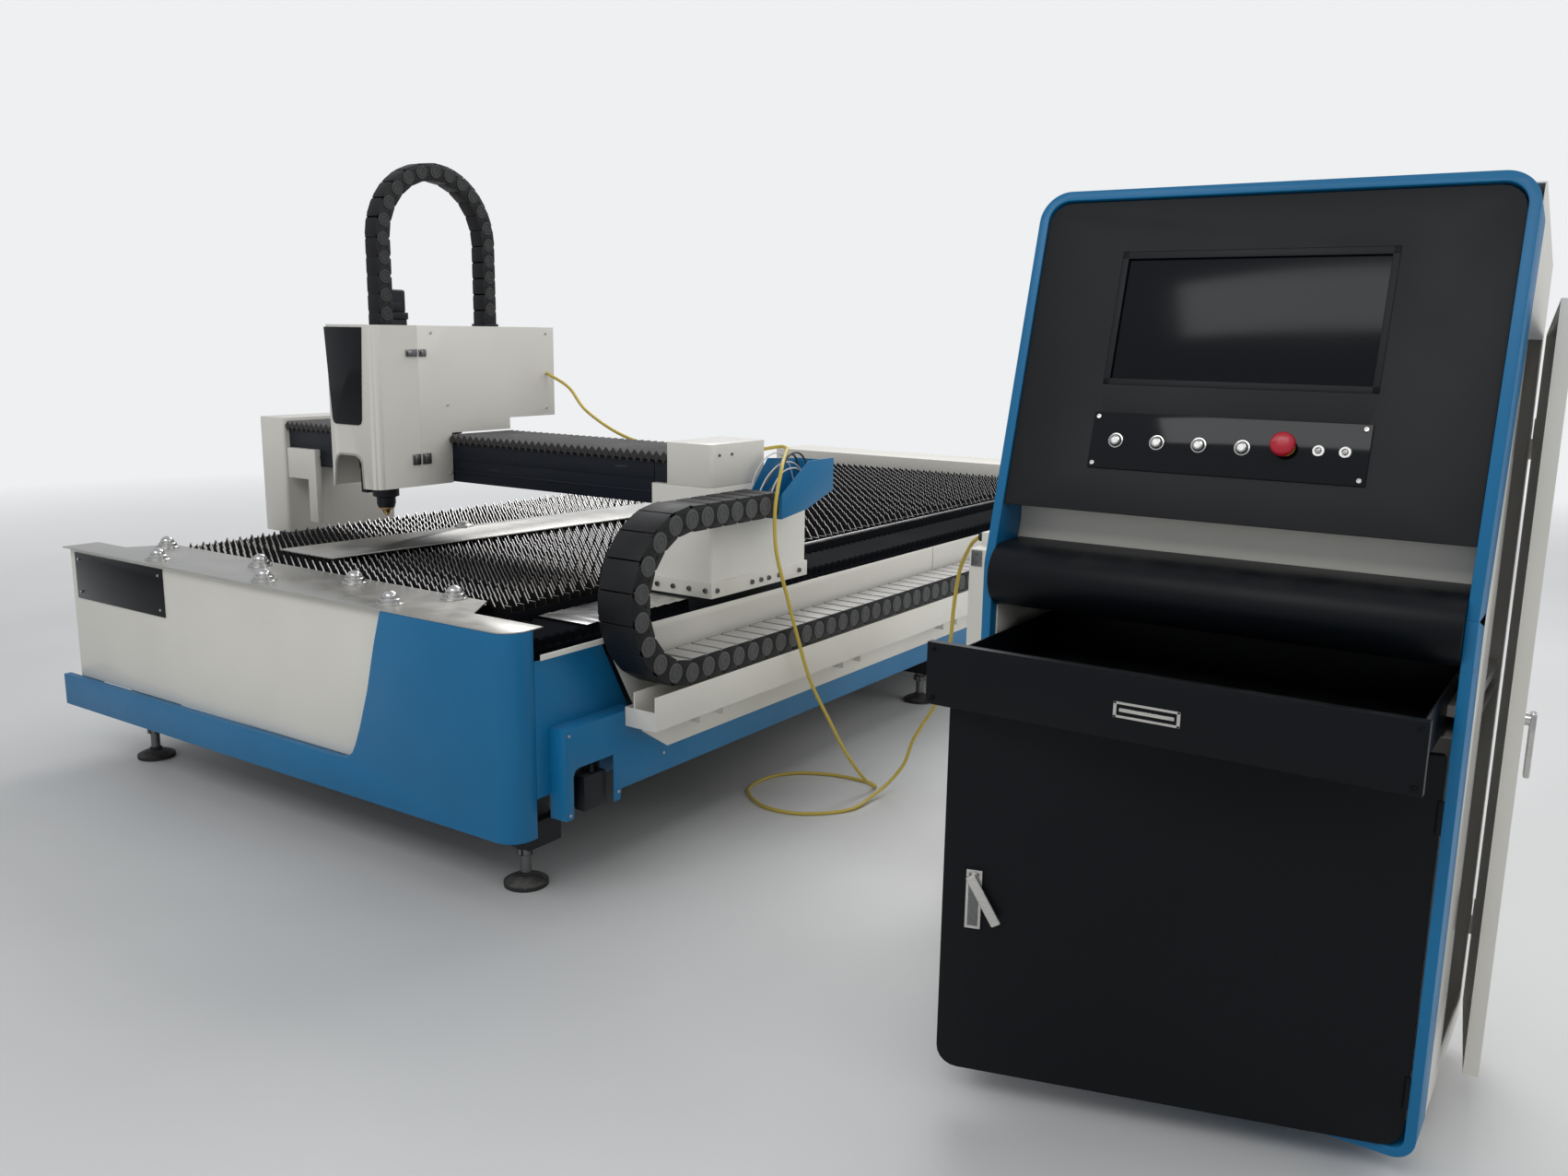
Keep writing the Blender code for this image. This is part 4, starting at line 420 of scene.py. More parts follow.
def settled_dust_group():
    """Dust that lies on faces that look up, in patches."""
    tree, given, result = new_group(
        "settled_dust", (("Vector", "Vector"), ("Normal", "Vector")), (("Dust", "Float"),))
    parts = shader_node(tree, "ShaderNodeSeparateXYZ", Vector=given.outputs["Normal"])
    flat = spread(tree, parts.outputs["Z"], *FLAT_RANGE)
    patch = spread(tree, noise(tree, given.outputs["Vector"], *DUST_PATCH), *DUST_RANGE)
    tree.links.new(combined(tree, flat, patch), result.inputs["Dust"])
    return tree


def brushed_metal_group():
    """Lines of brushed or rolled metal that run along X, with darker stains."""
    tree, given, result = new_group(
        "brushed_metal", (("Vector", "Vector"), ("Along", "Vector")),
        (("Height", "Float"), ("Line", "Float"), ("Stain", "Float")))
    stretched = tree.nodes.new("ShaderNodeVectorMath")
    stretched.operation = "MULTIPLY"
    tree.links.new(given.outputs["Vector"], stretched.inputs[0])
    tree.links.new(given.outputs["Along"], stretched.inputs[1])
    line = noise(tree, stretched.outputs["Vector"], *LINE_NOISE)
    stain = noise(tree, given.outputs["Vector"], *STAIN_NOISE)
    tree.links.new(line, result.inputs["Height"])
    tree.links.new(spread(tree, line, *LINE_RANGE), result.inputs["Line"])
    tree.links.new(spread(tree, stain, *STAIN_RANGE), result.inputs["Stain"])
    return tree


SPRAYED_COAT = sprayed_coat_group()
SETTLED_DUST = settled_dust_group()
BRUSHED_METAL = brushed_metal_group()


def new_material(name, colour, roughness, metallic=0.0, coat=0.0, specular=0.5):
    material = bpy.data.materials.new(name)
    material.use_nodes = True
    shader = material.node_tree.nodes["Principled BSDF"]
    shader.inputs["Base Color"].default_value = (*colour, 1.0)
    shader.inputs["Roughness"].default_value = roughness
    shader.inputs["Metallic"].default_value = metallic
    shader.inputs["Coat Weight"].default_value = coat
    shader.inputs["Coat Roughness"].default_value = COAT_ROUGHNESS
    shader.inputs["Specular IOR Level"].default_value = specular
    material.diffuse_color = (*colour, 1.0)
    return material, material.node_tree, shader


def placed_group(tree, group, **values):
    made = tree.nodes.new("ShaderNodeGroup")
    made.node_tree = group
    for key, value in values.items():
        socket = made.inputs[key]
        if isinstance(value, bpy.types.NodeSocket):
            tree.links.new(value, socket)
        else:
            socket.default_value = value
    return made


def coated(name, colour, roughness, peel=420.0, cloud=2.2, bump=0.00012, tint=0.88, dust=0.25,
           dust_colour=(0.42, 0.40, 0.36), gloss_spread=0.10, scuff=0.25, **more):
    """Painted or moulded surface with its peel, clouds, scuffs and dust."""
    material, tree, shader = new_material(name, colour, roughness, **more)
    coords = tree.nodes.new("ShaderNodeTexCoord")
    coat = placed_group(tree, SPRAYED_COAT, Vector=coords.outputs["Object"], Peel=peel,
                        Cloud=cloud)
    settled = placed_group(tree, SETTLED_DUST, Vector=coords.outputs["Object"],
                           Normal=coords.outputs["Normal"])
    shade = tuple(tint * part for part in colour)
    clouded = mixed(tree, coat.outputs["Cloud"], (*shade, 1.0), (*colour, 1.0))
    scuffed = tuple(HALF * (part + SCUFF_LIGHT) for part in colour)
    marked = mixed(tree, combined(tree, coat.outputs["Scuff"], scuff), clouded, (*scuffed, 1.0))
    dusty = mixed(tree, combined(tree, settled.outputs["Dust"], dust), marked, (*dust_colour, 1.0))
    tree.links.new(dusty, shader.inputs["Base Color"])
    gloss = spread(tree, coat.outputs["Cloud"], 0.0, 1.0, roughness + gloss_spread, roughness)
    duller = combined(tree, settled.outputs["Dust"], dust * DUST_DULLNESS)
    tree.links.new(combined(tree, gloss, duller, "ADD"), shader.inputs["Roughness"])
    relief = shader_node(tree, "ShaderNodeBump", Strength=COAT_RELIEF, Distance=bump,
                         Height=coat.outputs["Height"])
    tree.links.new(relief.outputs["Normal"], shader.inputs["Normal"])
    return material


def metal(name, colour, roughness, along, stain_colour, stain=0.5, bump=0.00008, dark=0.75):
    """Bare metal with its rolled or brushed lines and stains."""
    material, tree, shader = new_material(name, colour, roughness, metallic=1.0)
    coords = tree.nodes.new("ShaderNodeTexCoord")
    lines = placed_group(tree, BRUSHED_METAL, Vector=coords.outputs["Object"], Along=along)
    shade = tuple(dark * part for part in colour)
    lined = mixed(tree, lines.outputs["Line"], (*shade, 1.0), (*colour, 1.0))
    stained = mixed(tree, combined(tree, lines.outputs["Stain"], stain), lined,
                    (*stain_colour, 1.0))
    tree.links.new(stained, shader.inputs["Base Color"])
    duller = spread(tree, lines.outputs["Stain"], 0.0, 1.0, roughness,
                    roughness + STAIN_DULLNESS)
    tree.links.new(duller, shader.inputs["Roughness"])
    relief = shader_node(tree, "ShaderNodeBump", Strength=METAL_RELIEF, Distance=bump,
                         Height=lines.outputs["Height"])
    tree.links.new(relief.outputs["Normal"], shader.inputs["Normal"])
    return material


CREAM_PAINT = coated("cream_paint", (0.75, 0.725, 0.655), 0.34, tint=0.93, coat=0.25)
BLUE_PAINT = coated("blue_paint", (0.004, 0.155, 0.345), 0.36, tint=0.88, specular=0.35,
                    dust=0.06, scuff=0.06)
FRAME_BLACK = coated("frame_black", (0.010, 0.011, 0.015), 0.42, dust=0.25, bump=0.0002,
                     specular=0.3, scuff=0.1)
BEAM_BLACK = coated("beam_black", (0.005, 0.008, 0.016), 0.38, dust=0.15, bump=0.0002,
                    specular=0.3, scuff=0.1)
CONSOLE_BLACK = coated("console_black", (0.010, 0.0105, 0.0115), 0.50, peel=900.0, dust=0.05,
                       bump=0.0002, specular=0.25, scuff=0.0)
DRAWER_BLACK = coated("drawer_black", (0.0025, 0.004, 0.006), 0.40, peel=700.0, dust=0.04,
                      bump=0.0001, specular=0.18, scuff=0.0)
GLOSS_BLACK = coated("gloss_black", (0.004, 0.005, 0.007), 0.08, dust=0.02, bump=0.00001,
                     gloss_spread=0.04, specular=0.25, scuff=0.02)
BELLOWS_BLACK = coated("bellows_black", (0.0045, 0.005, 0.007), 0.62, peel=1200.0, dust=0.01,
                       bump=0.0002, dust_colour=(0.16, 0.155, 0.15), specular=0.05, scuff=0.0)
COVER_BROWN = coated("cover_brown", (0.030, 0.026, 0.026), 0.50, peel=1400.0, dust=0.35,
                     bump=0.0003, dust_colour=(0.14, 0.12, 0.11))
CHAIN_BLACK = coated("chain_black", (0.009, 0.009, 0.010), 0.46, peel=800.0, dust=0.25,
                     dust_colour=(0.12, 0.115, 0.11), specular=0.3, scuff=0.05)
CHAIN_GREY = coated("chain_grey", (0.072, 0.073, 0.072), 0.50, peel=700.0, dust=0.25,
                    dust_colour=(0.22, 0.21, 0.20))
RUBBER_BLACK = coated("rubber_black", (0.015, 0.015, 0.016), 0.62, dust=0.4)
STOP_RED = coated("stop_red", (0.50, 0.012, 0.030), 0.30, dust=0.03)
CABLE_YELLOW = coated("cable_yellow", (0.60, 0.45, 0.07), 0.42, dust=0.25, peel=900.0)
STAINLESS = metal("stainless", (0.60, 0.585, 0.55), 0.34, (6.0, 420.0, 60.0),
                  (0.46, 0.44, 0.40), stain=0.35, bump=0.00002, dark=0.9)
SLAT_STEEL = metal("slat_steel", (0.060, 0.056, 0.055), 0.46, (60.0, 60.0, 260.0),
                   (0.030, 0.024, 0.020), stain=0.8)
# Bright cut steel; on the slats' top edges its brightness is also a painted highlight.
CUT_EDGE_STEEL = metal("cut_edge_steel", (0.82, 0.81, 0.79), 0.30, (220.0, 220.0, 40.0),
                       (0.45, 0.42, 0.38), stain=0.35)
CHROME = metal("chrome", (0.68, 0.67, 0.65), 0.20, (90.0, 90.0, 90.0), (0.5, 0.5, 0.5),
               stain=0.2, bump=0.00002)
SCREEN_GLASS = coated("screen_glass", (0.003, 0.004, 0.006), 0.14, dust=0.0, bump=0.000005,
                      gloss_spread=0.04, specular=0.2, scuff=0.0)
DARK_STEEL = metal("dark_steel", (0.22, 0.22, 0.22), 0.34, (80.0, 80.0, 80.0),
                   (0.08, 0.07, 0.06), stain=0.4)
PALE_METAL = metal("pale_metal", (0.72, 0.70, 0.66), 0.36, (50.0, 50.0, 300.0),
                   (0.55, 0.53, 0.50), stain=0.2)
BRASS = metal("brass", (0.55, 0.38, 0.16), 0.25, (90.0, 90.0, 200.0), (0.20, 0.13, 0.05))
CHAIN_BAR_GREY = coated("chain_bar_grey", (0.40, 0.385, 0.36), 0.40, peel=700.0, dust=0.15)
CHAIN_DARK_GREY = coated("chain_dark_grey", (0.028, 0.028, 0.028), 0.45, peel=700.0, dust=0.3,
                         dust_colour=(0.16, 0.15, 0.14))
WIRE_WHITE = coated("wire_white", (0.66, 0.65, 0.62), 0.40, dust=0.10, peel=900.0)
RIM_GREY = coated("rim_grey", (0.40, 0.39, 0.36), 0.38, dust=0.05)
SEAM_GREY = coated("seam_grey", (0.10, 0.095, 0.09), 0.60, dust=0.1)
STOP_YELLOW = coated("stop_yellow", (0.62, 0.42, 0.02), 0.40, dust=0.03)


# Camera, light and floor

BACKDROP_COLOUR = (0.86, 0.87, 0.88, 1.0)
FLOOR_CENTRE = (0.3, 1.5, 0.0)
FLOOR_FADE = (4.6, 10.5)
FLOOR_SIZE = 60
FLOOR_COLOUR = (0.62, 0.62, 0.61)
FLOOR_DARK = (0.60, 0.60, 0.59, 1.0)
FLOOR_LIGHT = (0.64, 0.64, 0.63, 1.0)
FLOOR_ROUGHNESS = 0.55
FLOOR_CLOUD = (0.7, 6.0)
LIGHTING_COLOUR = (0.92, 0.95, 1.0, 1.0)
LIGHTING_STRENGTH = 0.55
SOFT_LIGHTS = (("hall_light", (-1.5, 5.5, 5.0), (-0.6, 1.5, 0.8), (7.0, 3.0), 260),
               ("front_light", (1.0, -5.0, 5.6), (0.2, 1.0, 0.7), (6.0, 2.5), 150),
               ("side_light", (5.5, 2.5, 3.6), (0.5, 1.5, 0.7), (3.5, 3.0), 80))


def make_camera():
    data = bpy.data.cameras.new("camera")
    data.lens = CAMERA_LENS
    data.sensor_width = CAMERA_SENSOR
    data.sensor_fit = "HORIZONTAL"
    data.clip_start, data.clip_end = CAMERA_REACH
    made = bpy.data.objects.new("camera", data)
    bpy.context.scene.collection.objects.link(made)
    ahead = Vector((-math.sin(CAMERA_YAW) * math.cos(CAMERA_PITCH),
                    math.cos(CAMERA_YAW) * math.cos(CAMERA_PITCH), -math.sin(CAMERA_PITCH)))
    level = Vector((math.cos(CAMERA_YAW), math.sin(CAMERA_YAW), 0))
    rise = level.cross(ahead)
    right = math.cos(CAMERA_ROLL) * level + math.sin(CAMERA_ROLL) * rise
    up = -math.sin(CAMERA_ROLL) * level + math.cos(CAMERA_ROLL) * rise
    turn = Matrix((right, up, -ahead)).transposed().to_4x4()
    made.matrix_world = Matrix.Translation(CAMERA_PLACE) @ turn
    bpy.context.scene.camera = made


def soft_light(name, place, aim, size, power):
    data = bpy.data.lights.new(name, "AREA")
    data.shape = "RECTANGLE"
    data.size, data.size_y = size
    data.energy = power
    made = bpy.data.objects.new(name, data)
    bpy.context.scene.collection.objects.link(made)
    made.location = place
    made.rotation_euler = (Vector(aim) - Vector(place)).to_track_quat("-Z", "Y").to_euler()


def path_seen(tree):
    """One where the camera looks straight or through glass, nought for light's other paths."""
    path = tree.nodes.new("ShaderNodeLightPath")
    return combined(tree, path.outputs["Is Camera Ray"], path.outputs["Is Transmission Ray"],
                 "MAXIMUM")


def make_surroundings():
    scene = bpy.context.scene
    scene.view_settings.view_transform = "Standard"
    world = bpy.data.worlds.new("studio")
    scene.world = world
    world.use_nodes = True
    tree = world.node_tree
    tree.nodes.clear()
    seen = path_seen(tree)
    plain = shader_node(tree, "ShaderNodeBackground", Color=BACKDROP_COLOUR, Strength=1.0)
    lighting = shader_node(tree, "ShaderNodeBackground", Color=LIGHTING_COLOUR,
                           Strength=LIGHTING_STRENGTH)
    chosen = tree.nodes.new("ShaderNodeMixShader")
    tree.links.new(seen, chosen.inputs[0])
    tree.links.new(lighting.outputs[0], chosen.inputs[1])
    tree.links.new(plain.outputs[0], chosen.inputs[2])
    output = tree.nodes.new("ShaderNodeOutputWorld")
    tree.links.new(chosen.outputs[0], output.inputs["Surface"])

    for light in SOFT_LIGHTS:
        soft_light(*light)
    make_floor()


def make_floor():
    """Pale floor that fades to the backdrop far away, as the camera sees it."""
    start_piece()
    bpy.ops.mesh.primitive_plane_add(size=FLOOR_SIZE, location=FLOOR_CENTRE)
    floor = bpy.context.object
    floor.name = "floor"
    material, tree, shader = new_material("pale_floor", FLOOR_COLOUR, FLOOR_ROUGHNESS)
    coords = tree.nodes.new("ShaderNodeTexCoord")
    cloud = spread(tree, noise(tree, coords.outputs["Object"], *FLOOR_CLOUD), *CLOUD_RANGE)
    tree.links.new(mixed(tree, cloud, FLOOR_DARK, FLOOR_LIGHT), shader.inputs["Base Color"])
    away = tree.nodes.new("ShaderNodeVectorMath")
    away.operation = "LENGTH"
    tree.links.new(coords.outputs["Object"], away.inputs[0])
    far = spread(tree, away.outputs["Value"], *FLOOR_FADE)
    backdrop = shader_node(tree, "ShaderNodeEmission", Color=BACKDROP_COLOUR, Strength=1.0)
    faded = tree.nodes.new("ShaderNodeMixShader")
    tree.links.new(combined(tree, far, path_seen(tree)), faded.inputs[0])
    tree.links.new(shader.outputs[0], faded.inputs[1])
    tree.links.new(backdrop.outputs[0], faded.inputs[2])
    tree.links.new(faded.outputs[0], tree.nodes["Material Output"].inputs["Surface"])
    floor.data.materials.append(material)


# Tubes

ROUTE_FINE_STEPS = 20


def smooth_route(route, count):
    """Even points on a smooth curve through the points of a route."""
    points = [Vector(point) for point in route]
    points = [2 * points[0] - points[1]] + points + [2 * points[-1] - points[-2]]
    dense = []
    for index in range(1, len(points) - 2):
        before, start, end, after = points[index - 1:index + 3]
        for step in range(ROUTE_FINE_STEPS):
            share = step / ROUTE_FINE_STEPS
            dense.append(HALF * (2 * start + (end - before) * share
                                 + (2 * before - 5 * start + 4 * end - after) * share ** 2
                                 + (3 * start - before - 3 * end + after) * share ** 3))
    dense.append(points[-2])
    lengths = [0.0]
    for first, second in zip(dense, dense[1:]):
        lengths.append(lengths[-1] + (second - first).length)
    even = []
    index = 0
    for number in range(count):
        target = lengths[-1] * number / (count - 1)
        while index < len(lengths) - 2 and lengths[index + 1] < target:
            index += 1
        share = (target - lengths[index]) / (lengths[index + 1] - lengths[index])
        even.append(dense[index].lerp(dense[index + 1], share))
    return even, lengths[-1]


def tube(name, points, radius, rounds=CABLE_ROUND):
    """Round tube along points."""
    curve = bpy.data.curves.new(name, "CURVE")
    curve.dimensions = "3D"
    curve.bevel_depth = radius
    curve.bevel_resolution = rounds
    curve.use_fill_caps = True
    spline = curve.splines.new("POLY")
    spline.points.add(len(points) - 1)
    for knot, point in zip(spline.points, points):
        knot.co = (*point, 1.0)
    made = bpy.data.objects.new(name, curve)
    bpy.context.scene.collection.objects.link(made)
    select_only(made)
    bpy.ops.object.convert(target="MESH")
    return bpy.context.object


# Bed, table and rails

BODY_OF = {node: solid["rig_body"] for node, solid in frame["nodes"].items()}
TABLE_REACH = 0.775
SLAT_END_WIDTH = 0.025
SLAT_HEIGHTS = (0.600, 0.737, 0.727, 0.757)
SLAT_TEETH = 41
SLAT_COUNT = 85
SLAT_FIRST_Y = 0.2645
SLAT_PITCH = 0.0451
SLAT_THICKNESS = 0.004
SLAT_JITTER = (0.003, 0.0015)
SLAT_SEED = 5
FLAT_SHARE = 0.9
# Above this height the slats' cut edges take the bright steel, which also works as a painted
# highlight on the lit tips.
HIGHLIGHT_ABOVE = 0.722
TABLE_EDGE_X = (0.7755, 0.7790)
TABLE_EDGE_Y = (0.2553, 4.130)
TABLE_EDGE_Z = (0.600, 0.7180)
BRIGHT_EDGE_Y = (1.200, 4.130)
BRIGHT_EDGE_Z = (0.7180, 0.7290)

BELLOWS_PROFILE = ((0.800, 0.6053), (0.800, 0.668), (0.806, 0.676), (0.806, 0.696),
                   (0.812, 0.700), (0.973, 0.700), (0.979, 0.696), (0.979, 0.676),
                   (0.985, 0.668), (0.985, 0.6053), (0.981, 0.6053), (0.981, 0.667),
                   (0.975, 0.674), (0.975, 0.693), (0.810, 0.693), (0.810, 0.674),
                   (0.804, 0.667), (0.804, 0.6053))
BELLOWS_MIDDLE = 0.8925
BELLOWS_SHRINK = 0.905
FRONT_BELLOWS_Y = (0.1253, 0.7750)
REAR_BELLOWS_Y = (1.2800, 4.1450)
FRONT_BELLOWS_FOLDS = 17
REAR_BELLOWS_FOLDS = 75
LAMELLA_COUNT = 9
LAMELLA_Y = (0.340, 0.772)
LAMELLA_X = (0.803, 0.982)
LAMELLA_THICKNESS = 0.0015
LAMELLA_SHARE = 0.93
LAMELLA_LOW = 0.7005
LAMELLA_LEAN = math.radians(2.5)


def finish_solid(node, material, edge=SOFT_EDGE):
    """Carry a solid over with its edges rounded."""
    made = softened(solid_copy(node, node + "_finish"), edge)
    return finished(made, BODY_OF[node], material, (node,))


def two_finishes(made, first, second, belongs):
    """Give the faces that belong to it the second finish."""
    made.data.materials.clear()
    made.data.materials.append(first)
    made.data.materials.append(second)
    for face in made.data.polygons:
        face.material_index = int(belongs(face))
    return made


def make_slats():
    low, end_top, root, tip = SLAT_HEIGHTS
    inner = TABLE_REACH - SLAT_END_WIDTH
    tooth = 2 * inner / SLAT_TEETH
    outline = [(TABLE_REACH, low), (TABLE_REACH, end_top), (inner, end_top), (inner, root)]
    for number in range(SLAT_TEETH):
        right = inner - number * tooth
        outline += [(right - HALF * tooth, tip), (right - tooth, root)]
    outline += [(-inner, end_top), (-TABLE_REACH, end_top), (-TABLE_REACH, low)]
    slat = cut_plate("slats", outline, (SLAT_FIRST_Y, SLAT_FIRST_Y + SLAT_THICKNESS), "y", edge=0)
    dice = random.Random(SLAT_SEED)
    rows = [(dice.uniform(-1, 1) * SLAT_JITTER[0], number * SLAT_PITCH,
             -dice.random() * SLAT_JITTER[1]) for number in range(SLAT_COUNT)]
    slats = repeated(slat, rows)
    # Top cut edges get the bright steel: cut steel with a painted highlight of the lit tips. Faces
    # and lower edges keep the dark slat steel.
    two_finishes(slats, CUT_EDGE_STEEL, SLAT_STEEL,
                 lambda face: abs(face.normal.y) > FLAT_SHARE or face.center.z < HIGHLIGHT_ABOVE)
    finished(slats, "bed", None, ("slat_grid",), smooth=TOOTH_SMOOTH_ANGLE)
    mirrored_x = (-TABLE_EDGE_X[1], -TABLE_EDGE_X[0])
    for name, span_y, span_z, material in (
            ("table_edges", TABLE_EDGE_Y, TABLE_EDGE_Z, BELLOWS_BLACK),
            ("table_edge_strips", BRIGHT_EDGE_Y, BRIGHT_EDGE_Z, CUT_EDGE_STEEL)):
        edges = [block(name, span_x, span_y, span_z) for span_x in (TABLE_EDGE_X, mirrored_x)]
        finished(together(name, edges), "bed", material)
    finish_solid("table_strip", STAINLESS)
    finish_solid("slag_tray", SLAT_STEEL)


def bellows(name, span_y, folds):
    """Pleated cover drawn out step by step, narrower at every other step."""
    start_piece()
    bpy.ops.mesh.primitive_circle_add(vertices=len(BELLOWS_PROFILE), radius=1, fill_type="NGON")
    made = bpy.context.object
    made.name = name
    for vertex, (x, z) in zip(made.data.vertices, BELLOWS_PROFILE):
        vertex.co = (x, span_y[0], z)
    step = (span_y[1] - span_y[0]) / (2 * folds)
    select_only(made)
    bpy.ops.object.mode_set(mode="EDIT")
    bpy.ops.mesh.select_all(action="SELECT")
    for number in range(2 * folds):
        bpy.ops.mesh.extrude_region_move(TRANSFORM_OT_translate={"value": (0, step, 0)})
        size = 1 / BELLOWS_SHRINK if number % 2 else BELLOWS_SHRINK
        bpy.ops.transform.resize(value=(size, 1, size), center_override=(
            BELLOWS_MIDDLE, span_y[0] + (number + 1) * step, BELLOWS_PROFILE[0][1]))
    bpy.ops.mesh.select_all(action="SELECT")
    bpy.ops.mesh.normals_make_consistent(inside=False)
    bpy.ops.object.mode_set(mode="OBJECT")
    return made


def make_bellows():
    mirror = Matrix.Scale(-1, 4, (1, 0, 0))
    for place, span_y, folds in (("front", FRONT_BELLOWS_Y, FRONT_BELLOWS_FOLDS),
                                 ("rear", REAR_BELLOWS_Y, REAR_BELLOWS_FOLDS)):
        right = bellows("bellows_" + place, span_y, folds)
        left = outward(copied(right, mirror))
        left.name = "bellows_left_" + place + "_folds"
        right.name = "bellows_right_" + place + "_folds"
        for made, side in ((right, "right"), (left, "left")):
            finished(made, None, BELLOWS_BLACK, ("bellows_%s_%s" % (side, place),),
                     smooth=FOLD_SMOOTH_ANGLE)
            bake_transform(made)
    make_lamellae()


def make_lamellae():
    """Bright steel lamellae that lie on the folds in front of the gantry's right foot."""
    pitch = (LAMELLA_Y[1] - LAMELLA_Y[0]) / LAMELLA_COUNT
    first = block("front_lamellae", LAMELLA_X,
                  (LAMELLA_Y[0], LAMELLA_Y[0] + pitch * LAMELLA_SHARE),
                  (LAMELLA_LOW, LAMELLA_LOW + LAMELLA_THICKNESS), edge=HAIR_EDGE)
    lean = Matrix.Translation((0, LAMELLA_Y[0], LAMELLA_LOW)) @ Matrix.Rotation(
        LAMELLA_LEAN, 4, "X") @ Matrix.Translation((0, -LAMELLA_Y[0], -LAMELLA_LOW))
    placed(first, lean)
    made = repeated(first, [(0, number * pitch, 0) for number in range(LAMELLA_COUNT)])
    finished(made, None, CUT_EDGE_STEEL)
    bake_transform(made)


# Front of the bed

PLATE_Z = (0.7413, 0.745)
PLATE_SIDE_Y = 0.120
PLATE_REAR = ((0.790, 0.120), (0.700, 0.250), (-0.800, 0.250), (-0.870, 0.120))
FRONT_HALF_WIDTH = 1.040
CORNER_RADIUS = 0.060
BALL_UNITS = ((-0.766, 0.205), (-0.236, 0.191), (0.211, 0.195), (0.605, 0.220),
              (-0.571, 0.057), (-0.013, 0.052), (0.526, 0.066))
BALL_CUP = ((0.036, 0.0), (0.036, 0.003), (0.034, 0.005), (0.0285, 0.0055), (0.0280, 0.014),
            (0.0255, 0.0165), (0.0225, 0.017), (0.0215, 0.0155))
BALL = ((0.0205, 0.0145), (0.0212, 0.019), (0.0200, 0.025), (0.0170, 0.030), (0.0125, 0.0335),
        (0.0070, 0.0360), (0.0020, 0.0370))
SCREW_HEAD = ((0.0045, 0.0), (0.0045, 0.0022), (0.0040, 0.0028), (0.0026, 0.0028),
              (0.0024, 0.0012))
BOLT_HEAD = ((0.0075, 0.0), (0.0075, 0.0050), (0.0068, 0.0060), (0.0042, 0.0060),
             (0.0040, 0.0030))
NAMEPLATE = ((-1.010, -0.496), (0.0217, 0.0247), (0.573, 0.727))
NAMEPLATE_SCREW_INSET = 0.022
CORNER_STEPS = 10
CUP_SIDES = 28
CUP_SCREWS = 3
CUP_SCREW_RADIUS = 0.032
CUP_SCREW_RISE = 0.004


def screw(name, place, facing, profile=SCREW_HEAD, sides=SCREW_SIDES):
    """Screw head that looks along a direction."""
    turn = Vector(facing).to_track_quat("Z", "Y").to_matrix().to_4x4()
    return placed(turned(name, profile, sides), Matrix.Translation(place) @ turn)


def make_front():
    corner = FRONT_HALF_WIDTH - CORNER_RADIUS
    outline = ([(-FRONT_HALF_WIDTH, 0), (corner, 0)]
               + arc((corner, CORNER_RADIUS), CORNER_RADIUS, -QUARTER_TURN, 0, CORNER_STEPS)[1:]
               + [(FRONT_HALF_WIDTH, PLATE_SIDE_Y), *PLATE_REAR,
                  (-FRONT_HALF_WIDTH, PLATE_SIDE_Y)])
    finished(cut_plate("loading_plate", outline, PLATE_Z, "z"), "bed", STAINLESS,
             ("front_plate",))
    cups = []
    balls = []
    for x, y in BALL_UNITS:
        place = Matrix.Translation((x, y, PLATE_Z[1]))
        cups.append(placed(turned("cup", BALL_CUP, CUP_SIDES), place))
        balls.append(placed(turned("ball", BALL, CUP_SIDES), place))
        for turn in range(CUP_SCREWS):
            angle = FULL_TURN * turn / CUP_SCREWS
            spot = (x + CUP_SCREW_RADIUS * math.cos(angle), y + CUP_SCREW_RADIUS * math.sin(angle),
                    PLATE_Z[1] + CUP_SCREW_RISE)
            cups.append(screw("cup_screw", spot, (0, 0, 1)))
    finished(together("ball_cups", cups), "bed", CHROME)
    finished(together("transfer_balls", balls), "bed", CHROME)
    finished(block("nameplate_blank", *NAMEPLATE), "bed", GLOSS_BLACK,
             ("nameplate",))
    (left, right), (front, _), (low, top) = NAMEPLATE
    inset = NAMEPLATE_SCREW_INSET
    screws = [screw("nameplate_screw", (x, front, z), (0, -1, 0))
              for x in (left + inset, right - inset) for z in (low + inset, top - inset)]
    finished(together("nameplate_screws", screws), "bed", CHROME)
    finish_solid("front_panel", CREAM_PAINT, SHEET_EDGE)
    finish_solid("front_shell", BLUE_PAINT, FRAME_EDGE)


FOOT_X = 0.895
FOOT_ROWS_Y = (0.18, 2.40, 4.25)
FOOT_CENTRES = [(side * FOOT_X, row) for side in (-1, 1) for row in FOOT_ROWS_Y]
FOOT_SIDES = 36
HEX_SIDES = 6
HEX_CHAMFER = 0.002
FOOT_PAD = ((0.0600, 0.0), (0.0605, 0.004), (0.0605, 0.012), (0.0570, 0.0145),
            (0.0330, 0.0250), (0.0200, 0.0275), (0.0200, 0.0340), (0.0150, 0.0350))
THREAD_RADII = (0.0146, 0.0152)
THREAD_Z = (0.036, 0.139)
THREAD_TURNS = 22
HEX_NUT_Z = ((0.088, 0.108), (0.115, 0.1298))
HEX_NUT_RADIUS = 0.0265


